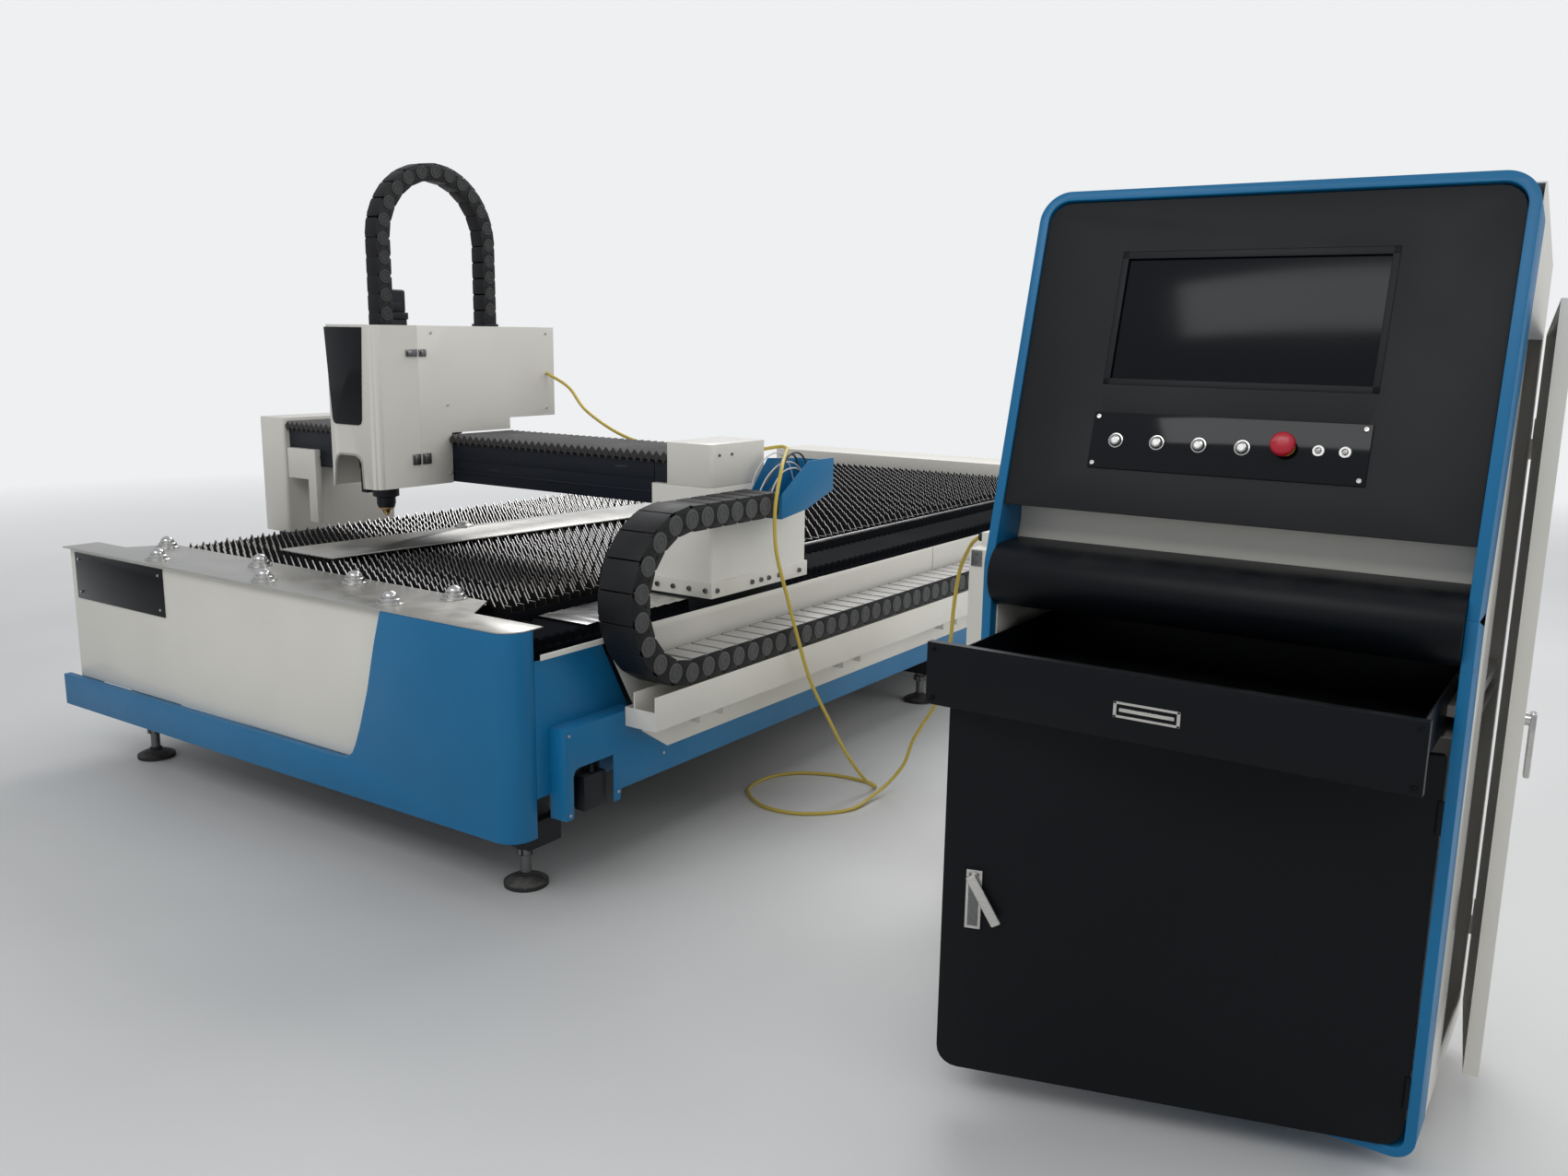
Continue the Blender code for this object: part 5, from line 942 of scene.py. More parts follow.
def make_feet():
    pads = []
    metals = []
    step = (THREAD_Z[1] - THREAD_Z[0]) / (2 * THREAD_TURNS)
    thread = [(THREAD_RADII[number % 2], THREAD_Z[0] + number * step)
              for number in range(2 * THREAD_TURNS + 1)]
    for centre in FOOT_CENTRES:
        place = Matrix.Translation((*centre, 0))
        pads.append(placed(turned("pad", FOOT_PAD, FOOT_SIDES), place))
        metals.append(placed(turned("thread", thread, SCREW_SIDES), place))
        for low, top in HEX_NUT_Z:
            narrow = HEX_NUT_RADIUS - HEX_CHAMFER
            nut = [(narrow, low), (HEX_NUT_RADIUS, low + HEX_CHAMFER),
                   (HEX_NUT_RADIUS, top - HEX_CHAMFER), (narrow, top)]
            metals.append(placed(turned("nut", nut, HEX_SIDES), place))
    finished(together("foot_pads", pads), "bed", RUBBER_BLACK)
    finished(together("foot_studs", metals), "bed", DARK_STEEL)
    finish_solid("bed_frame", FRAME_BLACK, FRAME_EDGE)


# Right side of the bed

BRACKET_ROWS_Y = (0.569, 1.320, 2.020, 2.760, 3.480)
BRACKET_LENGTH = 0.108
BRACKET_SHEET = 0.004
BRACKET_X = (1.0955, 1.186)
BRACKET_Z = (0.408, 0.4365)
BRACKET_BACK_X = (1.1600, 1.1640)
BRACKET_BACK_Z = (0.410, 0.4365)
WALL_SEAM_X = (1.0600, 1.0606)
WALL_SEAM_Y = (2.155, 2.1566)
WALL_SEAM_Z = (0.440, 0.684)
SKIRT_FACE_X = 1.095
SKIRT_BOLTS = ((0.146, 0.462), (0.146, 0.250), (0.330, 0.262), (0.520, 0.320), (1.300, 0.300),
               (2.100, 0.300), (2.900, 0.300), (3.700, 0.300))
SKIRT_BOX_Y = (0.215, 0.300)
SKIRT_BOX_Z = (0.235, 0.330)
SKIRT_BOX_X = (1.046, 1.080)
SKIRT_BOX_EDGE = 0.003
LIMIT_PLATE = ((1.041, 1.046), (0.190, 0.312), (0.240, 0.368))
LIMIT_GLAND = ((0.009, 0), (0.009, 0.012), (0.006, 0.014), (0.006, 0.020))
LIMIT_GLAND_PLACE = (1.063, 0.258, 0.330)
LIMIT_LEAD = ((1.063, 0.258, 0.348), (1.064, 0.262, 0.356), (1.062, 0.274, 0.362),
              (1.056, 0.290, 0.352), (1.050, 0.300, 0.325))
LIMIT_LEAD_POINTS = 16
LIMIT_LEAD_RADIUS = 0.003


def make_sides():
    for node, material in (("side_panel_blue", BLUE_PAINT), ("side_skirt", BLUE_PAINT),
                           ("left_skirt", BLUE_PAINT), ("side_panel_white", CREAM_PAINT),
                           ("left_side_panel", CREAM_PAINT), ("rear_cover", CREAM_PAINT),
                           ("cable_trough", CREAM_PAINT), ("rail_right", STAINLESS),
                           ("rail_left", STAINLESS)):
        finish_solid(node, material, SHEET_EDGE)
    brackets = []
    for row in BRACKET_ROWS_Y:
        far = row + BRACKET_LENGTH
        brackets.append(block("trough_bracket", BRACKET_X, (row, row + BRACKET_SHEET), BRACKET_Z))
        brackets.append(block("trough_bracket", BRACKET_X, (far, far + BRACKET_SHEET), BRACKET_Z))
        brackets.append(block("trough_bracket", BRACKET_BACK_X, (row, far + BRACKET_SHEET),
                              BRACKET_BACK_Z))
    finished(together("trough_brackets", brackets), "bed", CREAM_PAINT)
    seam = block("wall_seams", WALL_SEAM_X, WALL_SEAM_Y, WALL_SEAM_Z, edge=0)
    finished(seam, "bed", SEAM_GREY)
    bolts = [screw("skirt_bolts", (SKIRT_FACE_X, y, z), (1, 0, 0)) for y, z in SKIRT_BOLTS]
    finished(together("skirt_bolts", bolts), "bed", CHROME)
    box = block("limit_box", SKIRT_BOX_X, SKIRT_BOX_Y, SKIRT_BOX_Z, edge=SKIRT_BOX_EDGE)
    gland = placed(turned("limit_gland", LIMIT_GLAND, LOW_TURN_SIDES),
                   Matrix.Translation(LIMIT_GLAND_PLACE))
    plate = block("limit_plate", *LIMIT_PLATE)
    finished(together("limit_box", [box, gland, plate]), "bed", FRAME_BLACK)
    lead = smooth_route(LIMIT_LEAD, LIMIT_LEAD_POINTS)[0]
    finished(tube("limit_lead", lead, LIMIT_LEAD_RADIUS, WIRE_ROUND), "bed", RUBBER_BLACK)


# Chains

CHAIN_X = (1.077, 1.200)
CHAIN_LINK_HEIGHT = 0.070
CHAIN_BEND_CENTRE = (0.5195, 0.7775)
CHAIN_MIDDLE_RADIUS = 0.2075
CHAIN_BEND_LINKS = 9
CHAIN_UPPER_Y = (0.5195, 0.922)
CHAIN_UPPER_LINKS = 6
CHAIN_LOWER_Y = (0.5195, 2.550)
CHAIN_LOWER_LINKS = 29
CHAIN_TAIL_LINKS = 5
CHAIN_TAIL_SHARES = (0.894, 1.0, 0.857, 1.0)
HEAD_CHAIN_X = (-0.108, -0.050)
HEAD_CHAIN_HEIGHT = 0.054
HEAD_CHAIN_CENTRE = (0.781, 1.741)
HEAD_CHAIN_RADIUS = 0.217
HEAD_CHAIN_ARC_LINKS = 12
HEAD_CHAIN_NEAR = (1.400, 6)
HEAD_CHAIN_FAR = (1.4783, 5)
LINK_OVERLAP_SHARE = 1.02
HEAD_LINK_OVERLAP_SHARE = 1.04
LINK_PLATE = 0.0055
LINK_OUTLINE_SHARES = ((-0.98, 0.774), (-0.80, 1.0), (0.62, 1.0), (0.80, 0.90), (0.98, 0.774))
LINK_BAR = 0.004
LINK_BAR_SHARE = 0.82
LINK_BAR_SINK = 0.001
OUTER_BAR_SHARE = 1.14
DISC_SHARE = 0.39
DISC_THICKNESS = 0.0022
DISC_SIDES = 26
DISC_SHARES = ((1.0, 0.0), (1.0, 0.7), (0.96, 1.0), (0.72, 1.0), (0.69, 0.45), (0.60, 0.45),
               (0.57, 1.0), (0.30, 1.0), (0.28, 0.5))
MARK_DEPTH = 0.0012
MARK_HALF_HEIGHT = 0.0016
MARK_LENGTH_SHARES = (-0.10, 0.02)
MARK_ROW_SHARES = (-0.26, 0.26)
HEAD_CHAIN_CLIP_MARGIN = 0.004
HEAD_CHAIN_CLIP_REACH = (0.020, 0.030)
HEAD_CHAIN_CLIP_Z = ((1.386, 1.402), (1.4783, 1.486))


def link_parts(span_x, length, height, outer_share=LINK_BAR_SHARE):
    """Side plates, bars and pin discs of one chain link; its outer side looks down."""
    left, right = span_x
    half = HALF * length
    reach = HALF * height
    plate = ([(half * along, -reach * up) for along, up in LINK_OUTLINE_SHARES]
             + [(half * along, reach * up) for along, up in LINK_OUTLINE_SHARES[::-1]])
    plates = [cut_plate("plates", plate, (right - LINK_PLATE, right - DISC_THICKNESS), "x"),
              cut_plate("plates", plate, (left + DISC_THICKNESS, left + LINK_PLATE), "x")]
    bar_y = (-half * LINK_BAR_SHARE, half * LINK_BAR_SHARE)
    inside = (left + LINK_PLATE - LINK_BAR_SINK, right - LINK_PLATE + LINK_BAR_SINK)
    outer_y = (-half * outer_share, half * outer_share)
    plates.append(block("plates", inside, outer_y, (-reach, -reach + LINK_BAR),
                        edge=SHEET_EDGE))
    bar = block("bars", inside, bar_y, (reach - LINK_BAR, reach), edge=SHEET_EDGE)
    radius = DISC_SHARE * height
    profile = [(radius * out, DISC_THICKNESS * up) for out, up in DISC_SHARES]
    mark_y = [length * share for share in MARK_LENGTH_SHARES]
    discs = []
    for x, facing in ((right - DISC_THICKNESS, 1), (left + DISC_THICKNESS, -1)):
        discs.append(screw("discs", (x, half, 0), (facing, 0, 0), profile, DISC_SIDES))
        mark_x = sorted((x, x + facing * MARK_DEPTH))
        for row in MARK_ROW_SHARES:
            middle = row * height
            plates.append(block("plates", mark_x, mark_y,
                                (middle - MARK_HALF_HEIGHT, middle + MARK_HALF_HEIGHT), edge=0))
    return together("plates", plates), bar, together("discs", discs)


def chain_run(name, parts, places):
    """The link's parts at each place: plates, bars and discs as three pieces."""
    made = []
    for part, label in zip(parts, ("plates", "bars", "discs")):
        made.append(together(name + "_" + label, [copied(part, place) for place in places]))
    return made


def bend_places(centre, radius, start, count, step):
    """Places of links round a bend from its start angle, each turned with the bend."""
    places = []
    for number in range(count):
        angle = start + (number + HALF) * step
        turn = Matrix.Rotation(angle + QUARTER_TURN, 4, "X")
        if step > 0:
            turn = Matrix.Rotation(angle - QUARTER_TURN, 4, "X")
        places.append(Matrix.Translation((0, centre[0] + radius * math.cos(angle),
                                          centre[1] + radius * math.sin(angle))) @ turn)
    return places


def straight_places(start, end, count, turn):
    """Places of links in a straight run between two points of Y and Z."""
    places = []
    for number in range(count):
        share = (number + HALF) / count
        places.append(Matrix.Translation((0, start[0] + share * (end[0] - start[0]),
                                          start[1] + share * (end[1] - start[1]))) @ turn)
    return places


def make_side_chain():
    finishes = (CHAIN_BLACK, CHAIN_BAR_GREY, CHAIN_GREY)
    length = (CHAIN_LOWER_Y[1] - CHAIN_LOWER_Y[0]) / CHAIN_LOWER_LINKS
    link_length = length * LINK_OVERLAP_SHARE
    parts = link_parts(CHAIN_X, link_length, CHAIN_LINK_HEIGHT)
    over = Matrix.Rotation(math.pi, 4, "X")
    level = Matrix.Identity(4)
    centre_z = CHAIN_BEND_CENTRE[1]
    low = centre_z - CHAIN_MIDDLE_RADIUS
    top = centre_z + CHAIN_MIDDLE_RADIUS
    lower = chain_run("chain_lower", parts, straight_places(
        (CHAIN_LOWER_Y[0], low), (CHAIN_LOWER_Y[1], low), CHAIN_LOWER_LINKS, level))
    for made, finish in zip(lower, finishes):
        finished(made, "bed", finish)
        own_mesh(made)
    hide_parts("side_chain_lower")
    bend_parts = link_parts(CHAIN_X, link_length, CHAIN_LINK_HEIGHT, OUTER_BAR_SHARE)
    bend = chain_run("chain_bend", bend_parts, bend_places(
        CHAIN_BEND_CENTRE, CHAIN_MIDDLE_RADIUS, -QUARTER_TURN, CHAIN_BEND_LINKS,
        -math.pi / CHAIN_BEND_LINKS))
    for made, finish in zip(bend, finishes):
        finished(made, "chain_loop", finish)
    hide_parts("side_chain_bend")
    upper = chain_run("chain_upper", parts, straight_places(
        (CHAIN_UPPER_Y[0], top), (CHAIN_UPPER_Y[1], top), CHAIN_UPPER_LINKS, over))
    for made, finish in zip(upper, finishes):
        finished(made, None, finish)
        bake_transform(made)
    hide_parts("side_chain_upper")
    middle = Matrix.Translation((HALF * sum(CHAIN_X), 0, 0))
    small = middle @ Matrix.Diagonal(CHAIN_TAIL_SHARES) @ middle.inverted()
    end = CHAIN_LOWER_Y[0] + CHAIN_TAIL_LINKS * length
    tail = chain_run("chain_tail", parts, straight_places(
        (CHAIN_LOWER_Y[0], low), (end, low), CHAIN_TAIL_LINKS, small))
    for made, finish in zip(tail, finishes):
        finished(made, "chain_loop", finish)
    for part in (*parts, *bend_parts):
        bpy.data.objects.remove(part, do_unlink=True)


def make_head_chain():
    centre_y, centre_z = HEAD_CHAIN_CENTRE
    length = HEAD_CHAIN_RADIUS * math.pi / HEAD_CHAIN_ARC_LINKS
    parts = link_parts(HEAD_CHAIN_X, length * HEAD_LINK_OVERLAP_SHARE, HEAD_CHAIN_HEIGHT, 1)
    near, far = centre_y - HEAD_CHAIN_RADIUS, centre_y + HEAD_CHAIN_RADIUS
    places = straight_places((near, HEAD_CHAIN_NEAR[0]), (near, centre_z), HEAD_CHAIN_NEAR[1],
                             Matrix.Rotation(QUARTER_TURN, 4, "X").inverted())
    places += bend_places(HEAD_CHAIN_CENTRE, HEAD_CHAIN_RADIUS, math.pi, HEAD_CHAIN_ARC_LINKS,
                          -math.pi / HEAD_CHAIN_ARC_LINKS)
    places += straight_places((far, centre_z), (far, HEAD_CHAIN_FAR[0]), HEAD_CHAIN_FAR[1],
                              Matrix.Rotation(QUARTER_TURN, 4, "X"))
    run = chain_run("head_chain", parts, places)
    for made, finish in zip(run, (CHAIN_BLACK, CHAIN_BLACK, CHAIN_DARK_GREY)):
        finished(made, "carriage", finish)
    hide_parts("head_chain")
    for part in parts:
        bpy.data.objects.remove(part, do_unlink=True)
    left, right = HEAD_CHAIN_X
    margin = HEAD_CHAIN_CLIP_MARGIN
    near_reach, far_reach = HEAD_CHAIN_CLIP_REACH
    near_z, far_z = HEAD_CHAIN_CLIP_Z
    clips = [block("chain_clips", (left + margin, right - margin),
                   (near - near_reach, near + near_reach), near_z, edge=SHEET_EDGE),
             block("chain_clips", (left - margin, right + margin),
                   (far - far_reach, far + far_reach), far_z, edge=SHEET_EDGE)]
    finished(together("chain_clips", clips), "carriage", FRAME_BLACK)


# Gantry

COVER_PITCH = 0.028
COVER_Y = (0.785, 1.058)
COVER_BASE = 1.1003
COVER_LEVELS = (1.1125, 1.1270)
COVER_LEFT_X = (-0.9237, -0.2783)
COVER_RIGHT_X = (-0.0347, 0.8957)
COVER_TOOTH = ((0.7835, 0.7850), 1.0900)
COVER_TOOTH_DROP = 0.004
COVER_TOOTH_SHARES = (0.08, 0.92)
BEAM_LEDGE = ((-0.9200, 0.8340), (0.7975, 0.8003), (1.040, 1.098))
BEAM_STRIP = ((-0.9200, 0.8340), (0.7960, 0.8003), (1.000, 1.006))
FOOT_BOLTS_Y = (0.796, 0.970, 1.017, 1.058, 1.114, 1.226)
FOOT_BOLT_FACE = (1.070, 0.733)
FLANGE_BOLTS_X = (0.868, 0.928, 0.988, 1.048)
FLANGE_BOLT_PLACE = (0.771, 0.734)
END_BOLTS_Y = (0.810, 0.870)
END_BOLT_X = 1.0665
END_BOLT_Z = 1.125
TRAY_WIRES = (
    ((1.085, 0.935, 1.010), (1.090, 0.955, 1.060), (1.100, 0.990, 1.105), (1.112, 1.040, 1.120),
     (1.120, 1.085, 1.085), (1.124, 1.110, 1.030)),
    ((1.120, 0.935, 1.012), (1.128, 0.962, 1.055), (1.140, 1.005, 1.088), (1.150, 1.060, 1.092),
     (1.156, 1.110, 1.060), (1.150, 1.150, 1.020)),
    ((1.160, 0.935, 1.010), (1.166, 0.958, 1.050), (1.172, 0.990, 1.075), (1.178, 1.040, 1.078),
     (1.180, 1.090, 1.050), (1.182, 1.130, 1.015)),
    ((1.100, 0.940, 1.000), (1.104, 0.985, 1.030), (1.108, 1.030, 1.070), (1.110, 1.080, 1.100),
     (1.106, 1.130, 1.108), (1.098, 1.170, 1.075), (1.092, 1.188, 1.030)),
    ((1.142, 0.940, 1.006), (1.146, 0.980, 1.040), (1.160, 1.020, 1.110), (1.164, 1.065, 1.122),
     (1.160, 1.110, 1.100), (1.152, 1.160, 1.040)),
)
WHITE_WIRES = 3
WIRE_RADIUS = 0.0022
GREY_WIRE_RADIUS = 0.0032
WIRE_POINTS = 26


def pleated(name, span_x):
    """Cover of the beam with pleats across it and pointed teeth at its front edge."""
    left, right = span_x
    folds = round((right - left) / COVER_PITCH)
    step = (right - left) / folds
    valley, ridge = COVER_LEVELS
    outline = [(left, COVER_BASE)]
    for number in range(folds):
        start = left + number * step
        outline += [(start, valley), (start + HALF * step, ridge)]
    outline += [(right, valley), (right, COVER_BASE)]
    made = cut_plate(name, outline, COVER_Y, "y", edge=THIN_EDGE, steps=1)
    tooth_y, tip = COVER_TOOTH
    near_share, far_share = COVER_TOOTH_SHARES
    root = valley - COVER_TOOTH_DROP
    teeth = [(left, valley)]
    for number in range(folds):
        start = left + number * step
        teeth += [(start + near_share * step, root), (start + HALF * step, tip),
                  (start + far_share * step, root)]
    teeth += [(right, valley)]
    front = cut_plate(name, teeth, tooth_y, "y", edge=0)
    return together(name, [made, front])


def make_gantry():
    for node, material, edge in (("gantry_beam", BEAM_BLACK, CASTING_EDGE),
                                 ("foot_guard_right", FRAME_BLACK, SHEET_EDGE),
                                 ("foot_guard_left", FRAME_BLACK, SHEET_EDGE),
                                 ("end_bracket_left", CREAM_PAINT, CASTING_EDGE),
                                 ("end_box_right", CREAM_PAINT, CASTING_EDGE),
                                 ("end_box_left", CREAM_PAINT, CASTING_EDGE),
                                 ("end_foot_right", CREAM_PAINT, CASTING_EDGE),
                                 ("chain_tray", BLUE_PAINT, THIN_EDGE)):
        finish_solid(node, material, edge)
    for name, span_x, node in (("left_pleats", COVER_LEFT_X, "beam_cover_left"),
                               ("right_pleats", COVER_RIGHT_X, "beam_cover_right")):
        made = finished(pleated(name, span_x), None, COVER_BROWN, (node,),
                        smooth=FOLD_SMOOTH_ANGLE)
        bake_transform(made)
    ledges = [block("beam_ledges", *spans, edge=THIN_EDGE) for spans in (BEAM_LEDGE, BEAM_STRIP)]
    finished(together("beam_ledges", ledges), "gantry", BEAM_BLACK)
    x, z = FOOT_BOLT_FACE
    bolts = [screw("foot_bolts", (x, y, z), (1, 0, 0), BOLT_HEAD, BOLT_SIDES)
             for y in FOOT_BOLTS_Y]
    bolts += [screw("foot_bolts", (x, *FLANGE_BOLT_PLACE), (0, -1, 0), BOLT_HEAD, BOLT_SIDES)
              for x in FLANGE_BOLTS_X]
    bolts += [screw("foot_bolts", (side * END_BOLT_X, y, END_BOLT_Z), (side, 0, 0))
              for side in (-1, 1) for y in END_BOLTS_Y]
    finished(together("foot_bolts", bolts), "gantry", DARK_STEEL)
    for name, routes, radius, material in (
            ("tray_wires", TRAY_WIRES[:WHITE_WIRES], WIRE_RADIUS, WIRE_WHITE),
            ("tray_hoses", TRAY_WIRES[WHITE_WIRES:], GREY_WIRE_RADIUS, CHAIN_GREY)):
        wires = [tube(name, smooth_route(route, WIRE_POINTS)[0], radius, WIRE_ROUND)
                 for route in routes]
        finished(together(name, wires), "gantry", material)


# Head

HEAD_X = (-0.278, -0.035)
HEAD_SPLIT_Y = 0.665
HEAD_FRONT_Y = 0.490
HEAD_CORNER = 0.030
HEAD_Z = (0.965, 1.478)
HEAD_SHEET = 0.003
HEAD_LIP_Y = 0.527
HEAD_LIP_Z = (1.475, 1.478)
HEAD_LIP_INSET = 0.001
HEAD_CORNER_STEPS = 14
HEAD_WALL_EDGE = 0.0009
ARCH_TOOL_REACH = 0.020
RIM_FOOT_X = (-0.2468, -0.1078)
RIM_SHARES = (1.085, 1.07)
RIM_PROUD = 0.0022
RIM_SINK = 0.0005
HEAD_ARCH = ((-0.256, 0.900), (-0.238, 1.040), (-0.230, 1.058), (-0.215, 1.068),
             (-0.140, 1.068), (-0.122, 1.060), (-0.112, 1.045), (-0.105, 0.900))
WINDOW = ((-0.265, 1.470), (-0.243, 1.180), (-0.236, 1.169), (-0.225, 1.166), (-0.118, 1.166),
          (-0.106, 1.170), (-0.100, 1.182), (-0.082, 1.470))
WINDOW_THICKNESS = 0.003
WINDOW_GAP = 0.0003
WINDOW_EDGE = 0.0007
WINDOW_EDGE_STEPS = 3
HEAD_CLIPS = (((0.617, 0.697), (1.380, 1.403)), ((0.629, 0.703), (1.035, 1.070)))
CLIP_BASE = 0.004
CLIP_KNOB = 0.010
CLIP_STEP = 0.004
CLIP_KNOB_LENGTH = 0.034
CLIP_GAP = 0.004
CLIP_SEAT_START = 0.008
CLIP_CLEARANCE = 0.012
HEAD_SCREWS = ((0.782, 1.222), (0.787, 0.998), (0.720, 1.455), (1.240, 1.455), (1.240, 1.195))
MOTOR_X = (-0.190, -0.1103)
MOTOR_Y = (0.603, 0.6997)
MOTOR_LOW = 1.350
MOTOR_STAGES = ((0, 0, 0.014, 0.001, 2), (0.003, 0.013, 0.148, 0.006, 3),
                (0.001, 0.146, 0.168, 0.002, 2), (0.005, 0.166, 0.240, 0.008, 4))
MOTOR_PLUG = ((-0.1143, -0.1103), (0.630, 0.672), (1.526, 1.550))


def head_corners(radius):
    """Outline round both front corners of the head, from its left side to its right side."""
    left, right = HEAD_X
    centre_y = HEAD_FRONT_Y + HEAD_CORNER
    low_turn = 3 * QUARTER_TURN
    return (arc((left + HEAD_CORNER, centre_y), radius, math.pi, low_turn, HEAD_CORNER_STEPS)
            + arc((right - HEAD_CORNER, centre_y), radius, low_turn, FULL_TURN,
                  HEAD_CORNER_STEPS))


def make_head_cover():
    """Bent front sheet with a lip on top, an arch below and the glossy window."""
    left, right = HEAD_X
    low = HEAD_Z[0]
    outline = [(left, HEAD_SPLIT_Y), *head_corners(HEAD_CORNER), (right, HEAD_SPLIT_Y),
               (right - HEAD_SHEET, HEAD_SPLIT_Y),
               *head_corners(HEAD_CORNER - HEAD_SHEET)[::-1], (left + HEAD_SHEET, HEAD_SPLIT_Y)]
    wall = cut_plate("head_front", outline, HEAD_Z, "z", edge=0)
    lip_outline = [(left + HEAD_LIP_INSET, HEAD_LIP_Y),
                   *head_corners(HEAD_CORNER - HEAD_LIP_INSET),
                   (right - HEAD_LIP_INSET, HEAD_LIP_Y)]
    shaped(wall, "UNION", cut_plate("head_lip", lip_outline, HEAD_LIP_Z, "z", edge=0))
    arch_y = (HEAD_FRONT_Y - ARCH_TOOL_REACH, HEAD_FRONT_Y + ARCH_TOOL_REACH)
    shaped(wall, "DIFFERENCE", cut_plate("arch_tool", HEAD_ARCH, arch_y, "y", edge=0))
    softened(wall, HEAD_WALL_EDGE)
    finished(wall, "cover", CREAM_PAINT, ("head_cover",))
    left_foot, right_foot = RIM_FOOT_X
    narrow = [(left_foot, low), *[point for point in HEAD_ARCH if point[1] > low],
              (right_foot, low)]
    middle = HALF * (left_foot + right_foot)
    across_share, up_share = RIM_SHARES
    wide = [(middle + (x - middle) * across_share, low + (z - low) * up_share)
            for x, z in narrow]
    rim = cut_plate("arch_rim", wide + narrow[::-1],
                    (HEAD_FRONT_Y - RIM_PROUD, HEAD_FRONT_Y + RIM_SINK), "y", edge=FINE_EDGE)
    finished(rim, "cover", RIM_GREY)
    front = HEAD_FRONT_Y - WINDOW_GAP
    window = cut_plate("glossy_window", WINDOW, (front - WINDOW_THICKNESS, front), "y",
                       edge=WINDOW_EDGE, steps=WINDOW_EDGE_STEPS)
    finished(window, "cover", GLOSS_BLACK, ("head_window",))


def make_head_clips():
    """Clips that hold the cover: their hooks ride on the cover, their seats on the carriage."""
    right = HEAD_X[1]
    hooks = []
    seats = []
    for span_y, span_z in HEAD_CLIPS:
        foot = (span_z[0] + CLIP_STEP, span_z[1] - CLIP_STEP)
        base_x = (right, right + CLIP_BASE)
        knob_x = (right + CLIP_BASE, right + CLIP_KNOB)
        knob_end = min(span_y[0] + CLIP_KNOB_LENGTH, HEAD_SPLIT_Y - CLIP_CLEARANCE)
        hook_y = (span_y[0] + CLIP_STEP, knob_end)
        seat_y = (HEAD_SPLIT_Y + CLIP_SEAT_START, span_y[1] - CLIP_STEP)
        hooks.append(block("clip_hooks", base_x, (span_y[0], HEAD_SPLIT_Y - CLIP_GAP), span_z,
                           edge=SHEET_EDGE))
        hooks.append(block("clip_hooks", knob_x, hook_y, foot, edge=CASTING_EDGE))
        seats.append(block("clip_seats", base_x, (HEAD_SPLIT_Y + CLIP_GAP, span_y[1]), span_z,
                           edge=SHEET_EDGE))
        seats.append(block("clip_seats", knob_x, seat_y, foot, edge=CASTING_EDGE))
    finished(together("clip_hooks", hooks), "cover", DARK_STEEL)
    finished(together("clip_seats", seats), "carriage", DARK_STEEL)


def make_head():
    left, right = HEAD_X
    finish_solid("head_housing", CREAM_PAINT, SHEET_EDGE)
    finish_solid("carriage_plate", STAINLESS, THIN_EDGE)
    make_head_cover()
    make_head_clips()
    screws = [screw("head_screws", (right, y, z), (1, 0, 0)) for y, z in HEAD_SCREWS]
    screws += [screw("head_screws", (left, y, z), (-1, 0, 0)) for y, z in HEAD_SCREWS]
    finished(together("head_screws", screws), "carriage", CHROME)
    motor = []
    for inset, low, top, edge, steps in MOTOR_STAGES:
        span_x, span_y = [(span[0] + inset, span[1] - inset) for span in (MOTOR_X, MOTOR_Y)]
        motor.append(block("axis_motor", span_x, span_y, (MOTOR_LOW + low, MOTOR_LOW + top),
                           edge=edge, steps=steps))
    motor.append(block("axis_motor", *MOTOR_PLUG, edge=SHEET_EDGE))
    finished(together("axis_motor", motor), "carriage", FRAME_BLACK, ("z_motor",))


CUTTER_TURNS = ((0.048, 1.025), (0.048, 0.990), (0.042, 0.985), (0.042, 0.972), (0.0405, 0.970),
                (0.0405, 0.966), (0.042, 0.964), (0.042, 0.930), (0.034, 0.927), (0.030, 0.925),
                (0.030, 0.905), (0.026, 0.892))
NOZZLE_TURNS = ((0.0262, 0.8935), (0.0262, 0.890), (0.014, 0.884), (0.0125, 0.876), (0.004, 0.865),
                (0.0016, 0.865), (0.0014, 0.870))
CUTTER_CENTRE = (-0.145, 0.605)
CUTTER_SIDES = 40
CUTTER_BLOCKS = (((-0.205, -0.085), (0.550, 0.670), (1.020, 1.240), 0.003),
                 ((-0.200, -0.090), (0.669, 0.6997), (1.060, 1.300), 0.001),
                 ((-0.212, -0.180), (0.560, 0.640), (0.940, 1.025), 0.002),
                 ((-0.195, -0.095), (0.5475, 0.551), (1.040, 1.120), 0.001))
CUTTER_SCREWS_X = (-0.185, -0.105)
CUTTER_SCREWS_Z = (1.050, 1.110)
CUTTER_FACE_Y = 0.5475


def make_cutting_head():
    place = Matrix.Translation((*CUTTER_CENTRE, 0))
    parts = [block("cutter", *spans, edge=edge) for *spans, edge in CUTTER_BLOCKS]
    parts.append(placed(turned("cutter", CUTTER_TURNS, CUTTER_SIDES), place))
    finished(together("cutter_body", parts), "head", FRAME_BLACK, ("cutting_head",))
    finished(placed(turned("nozzle", NOZZLE_TURNS), place), "head", BRASS)
    screws = [screw("cutter_screws", (x, CUTTER_FACE_Y, z), (0, -1, 0)) for x in CUTTER_SCREWS_X
              for z in CUTTER_SCREWS_Z]
    finished(together("cutter_screws", screws), "head", CHROME)


# Console

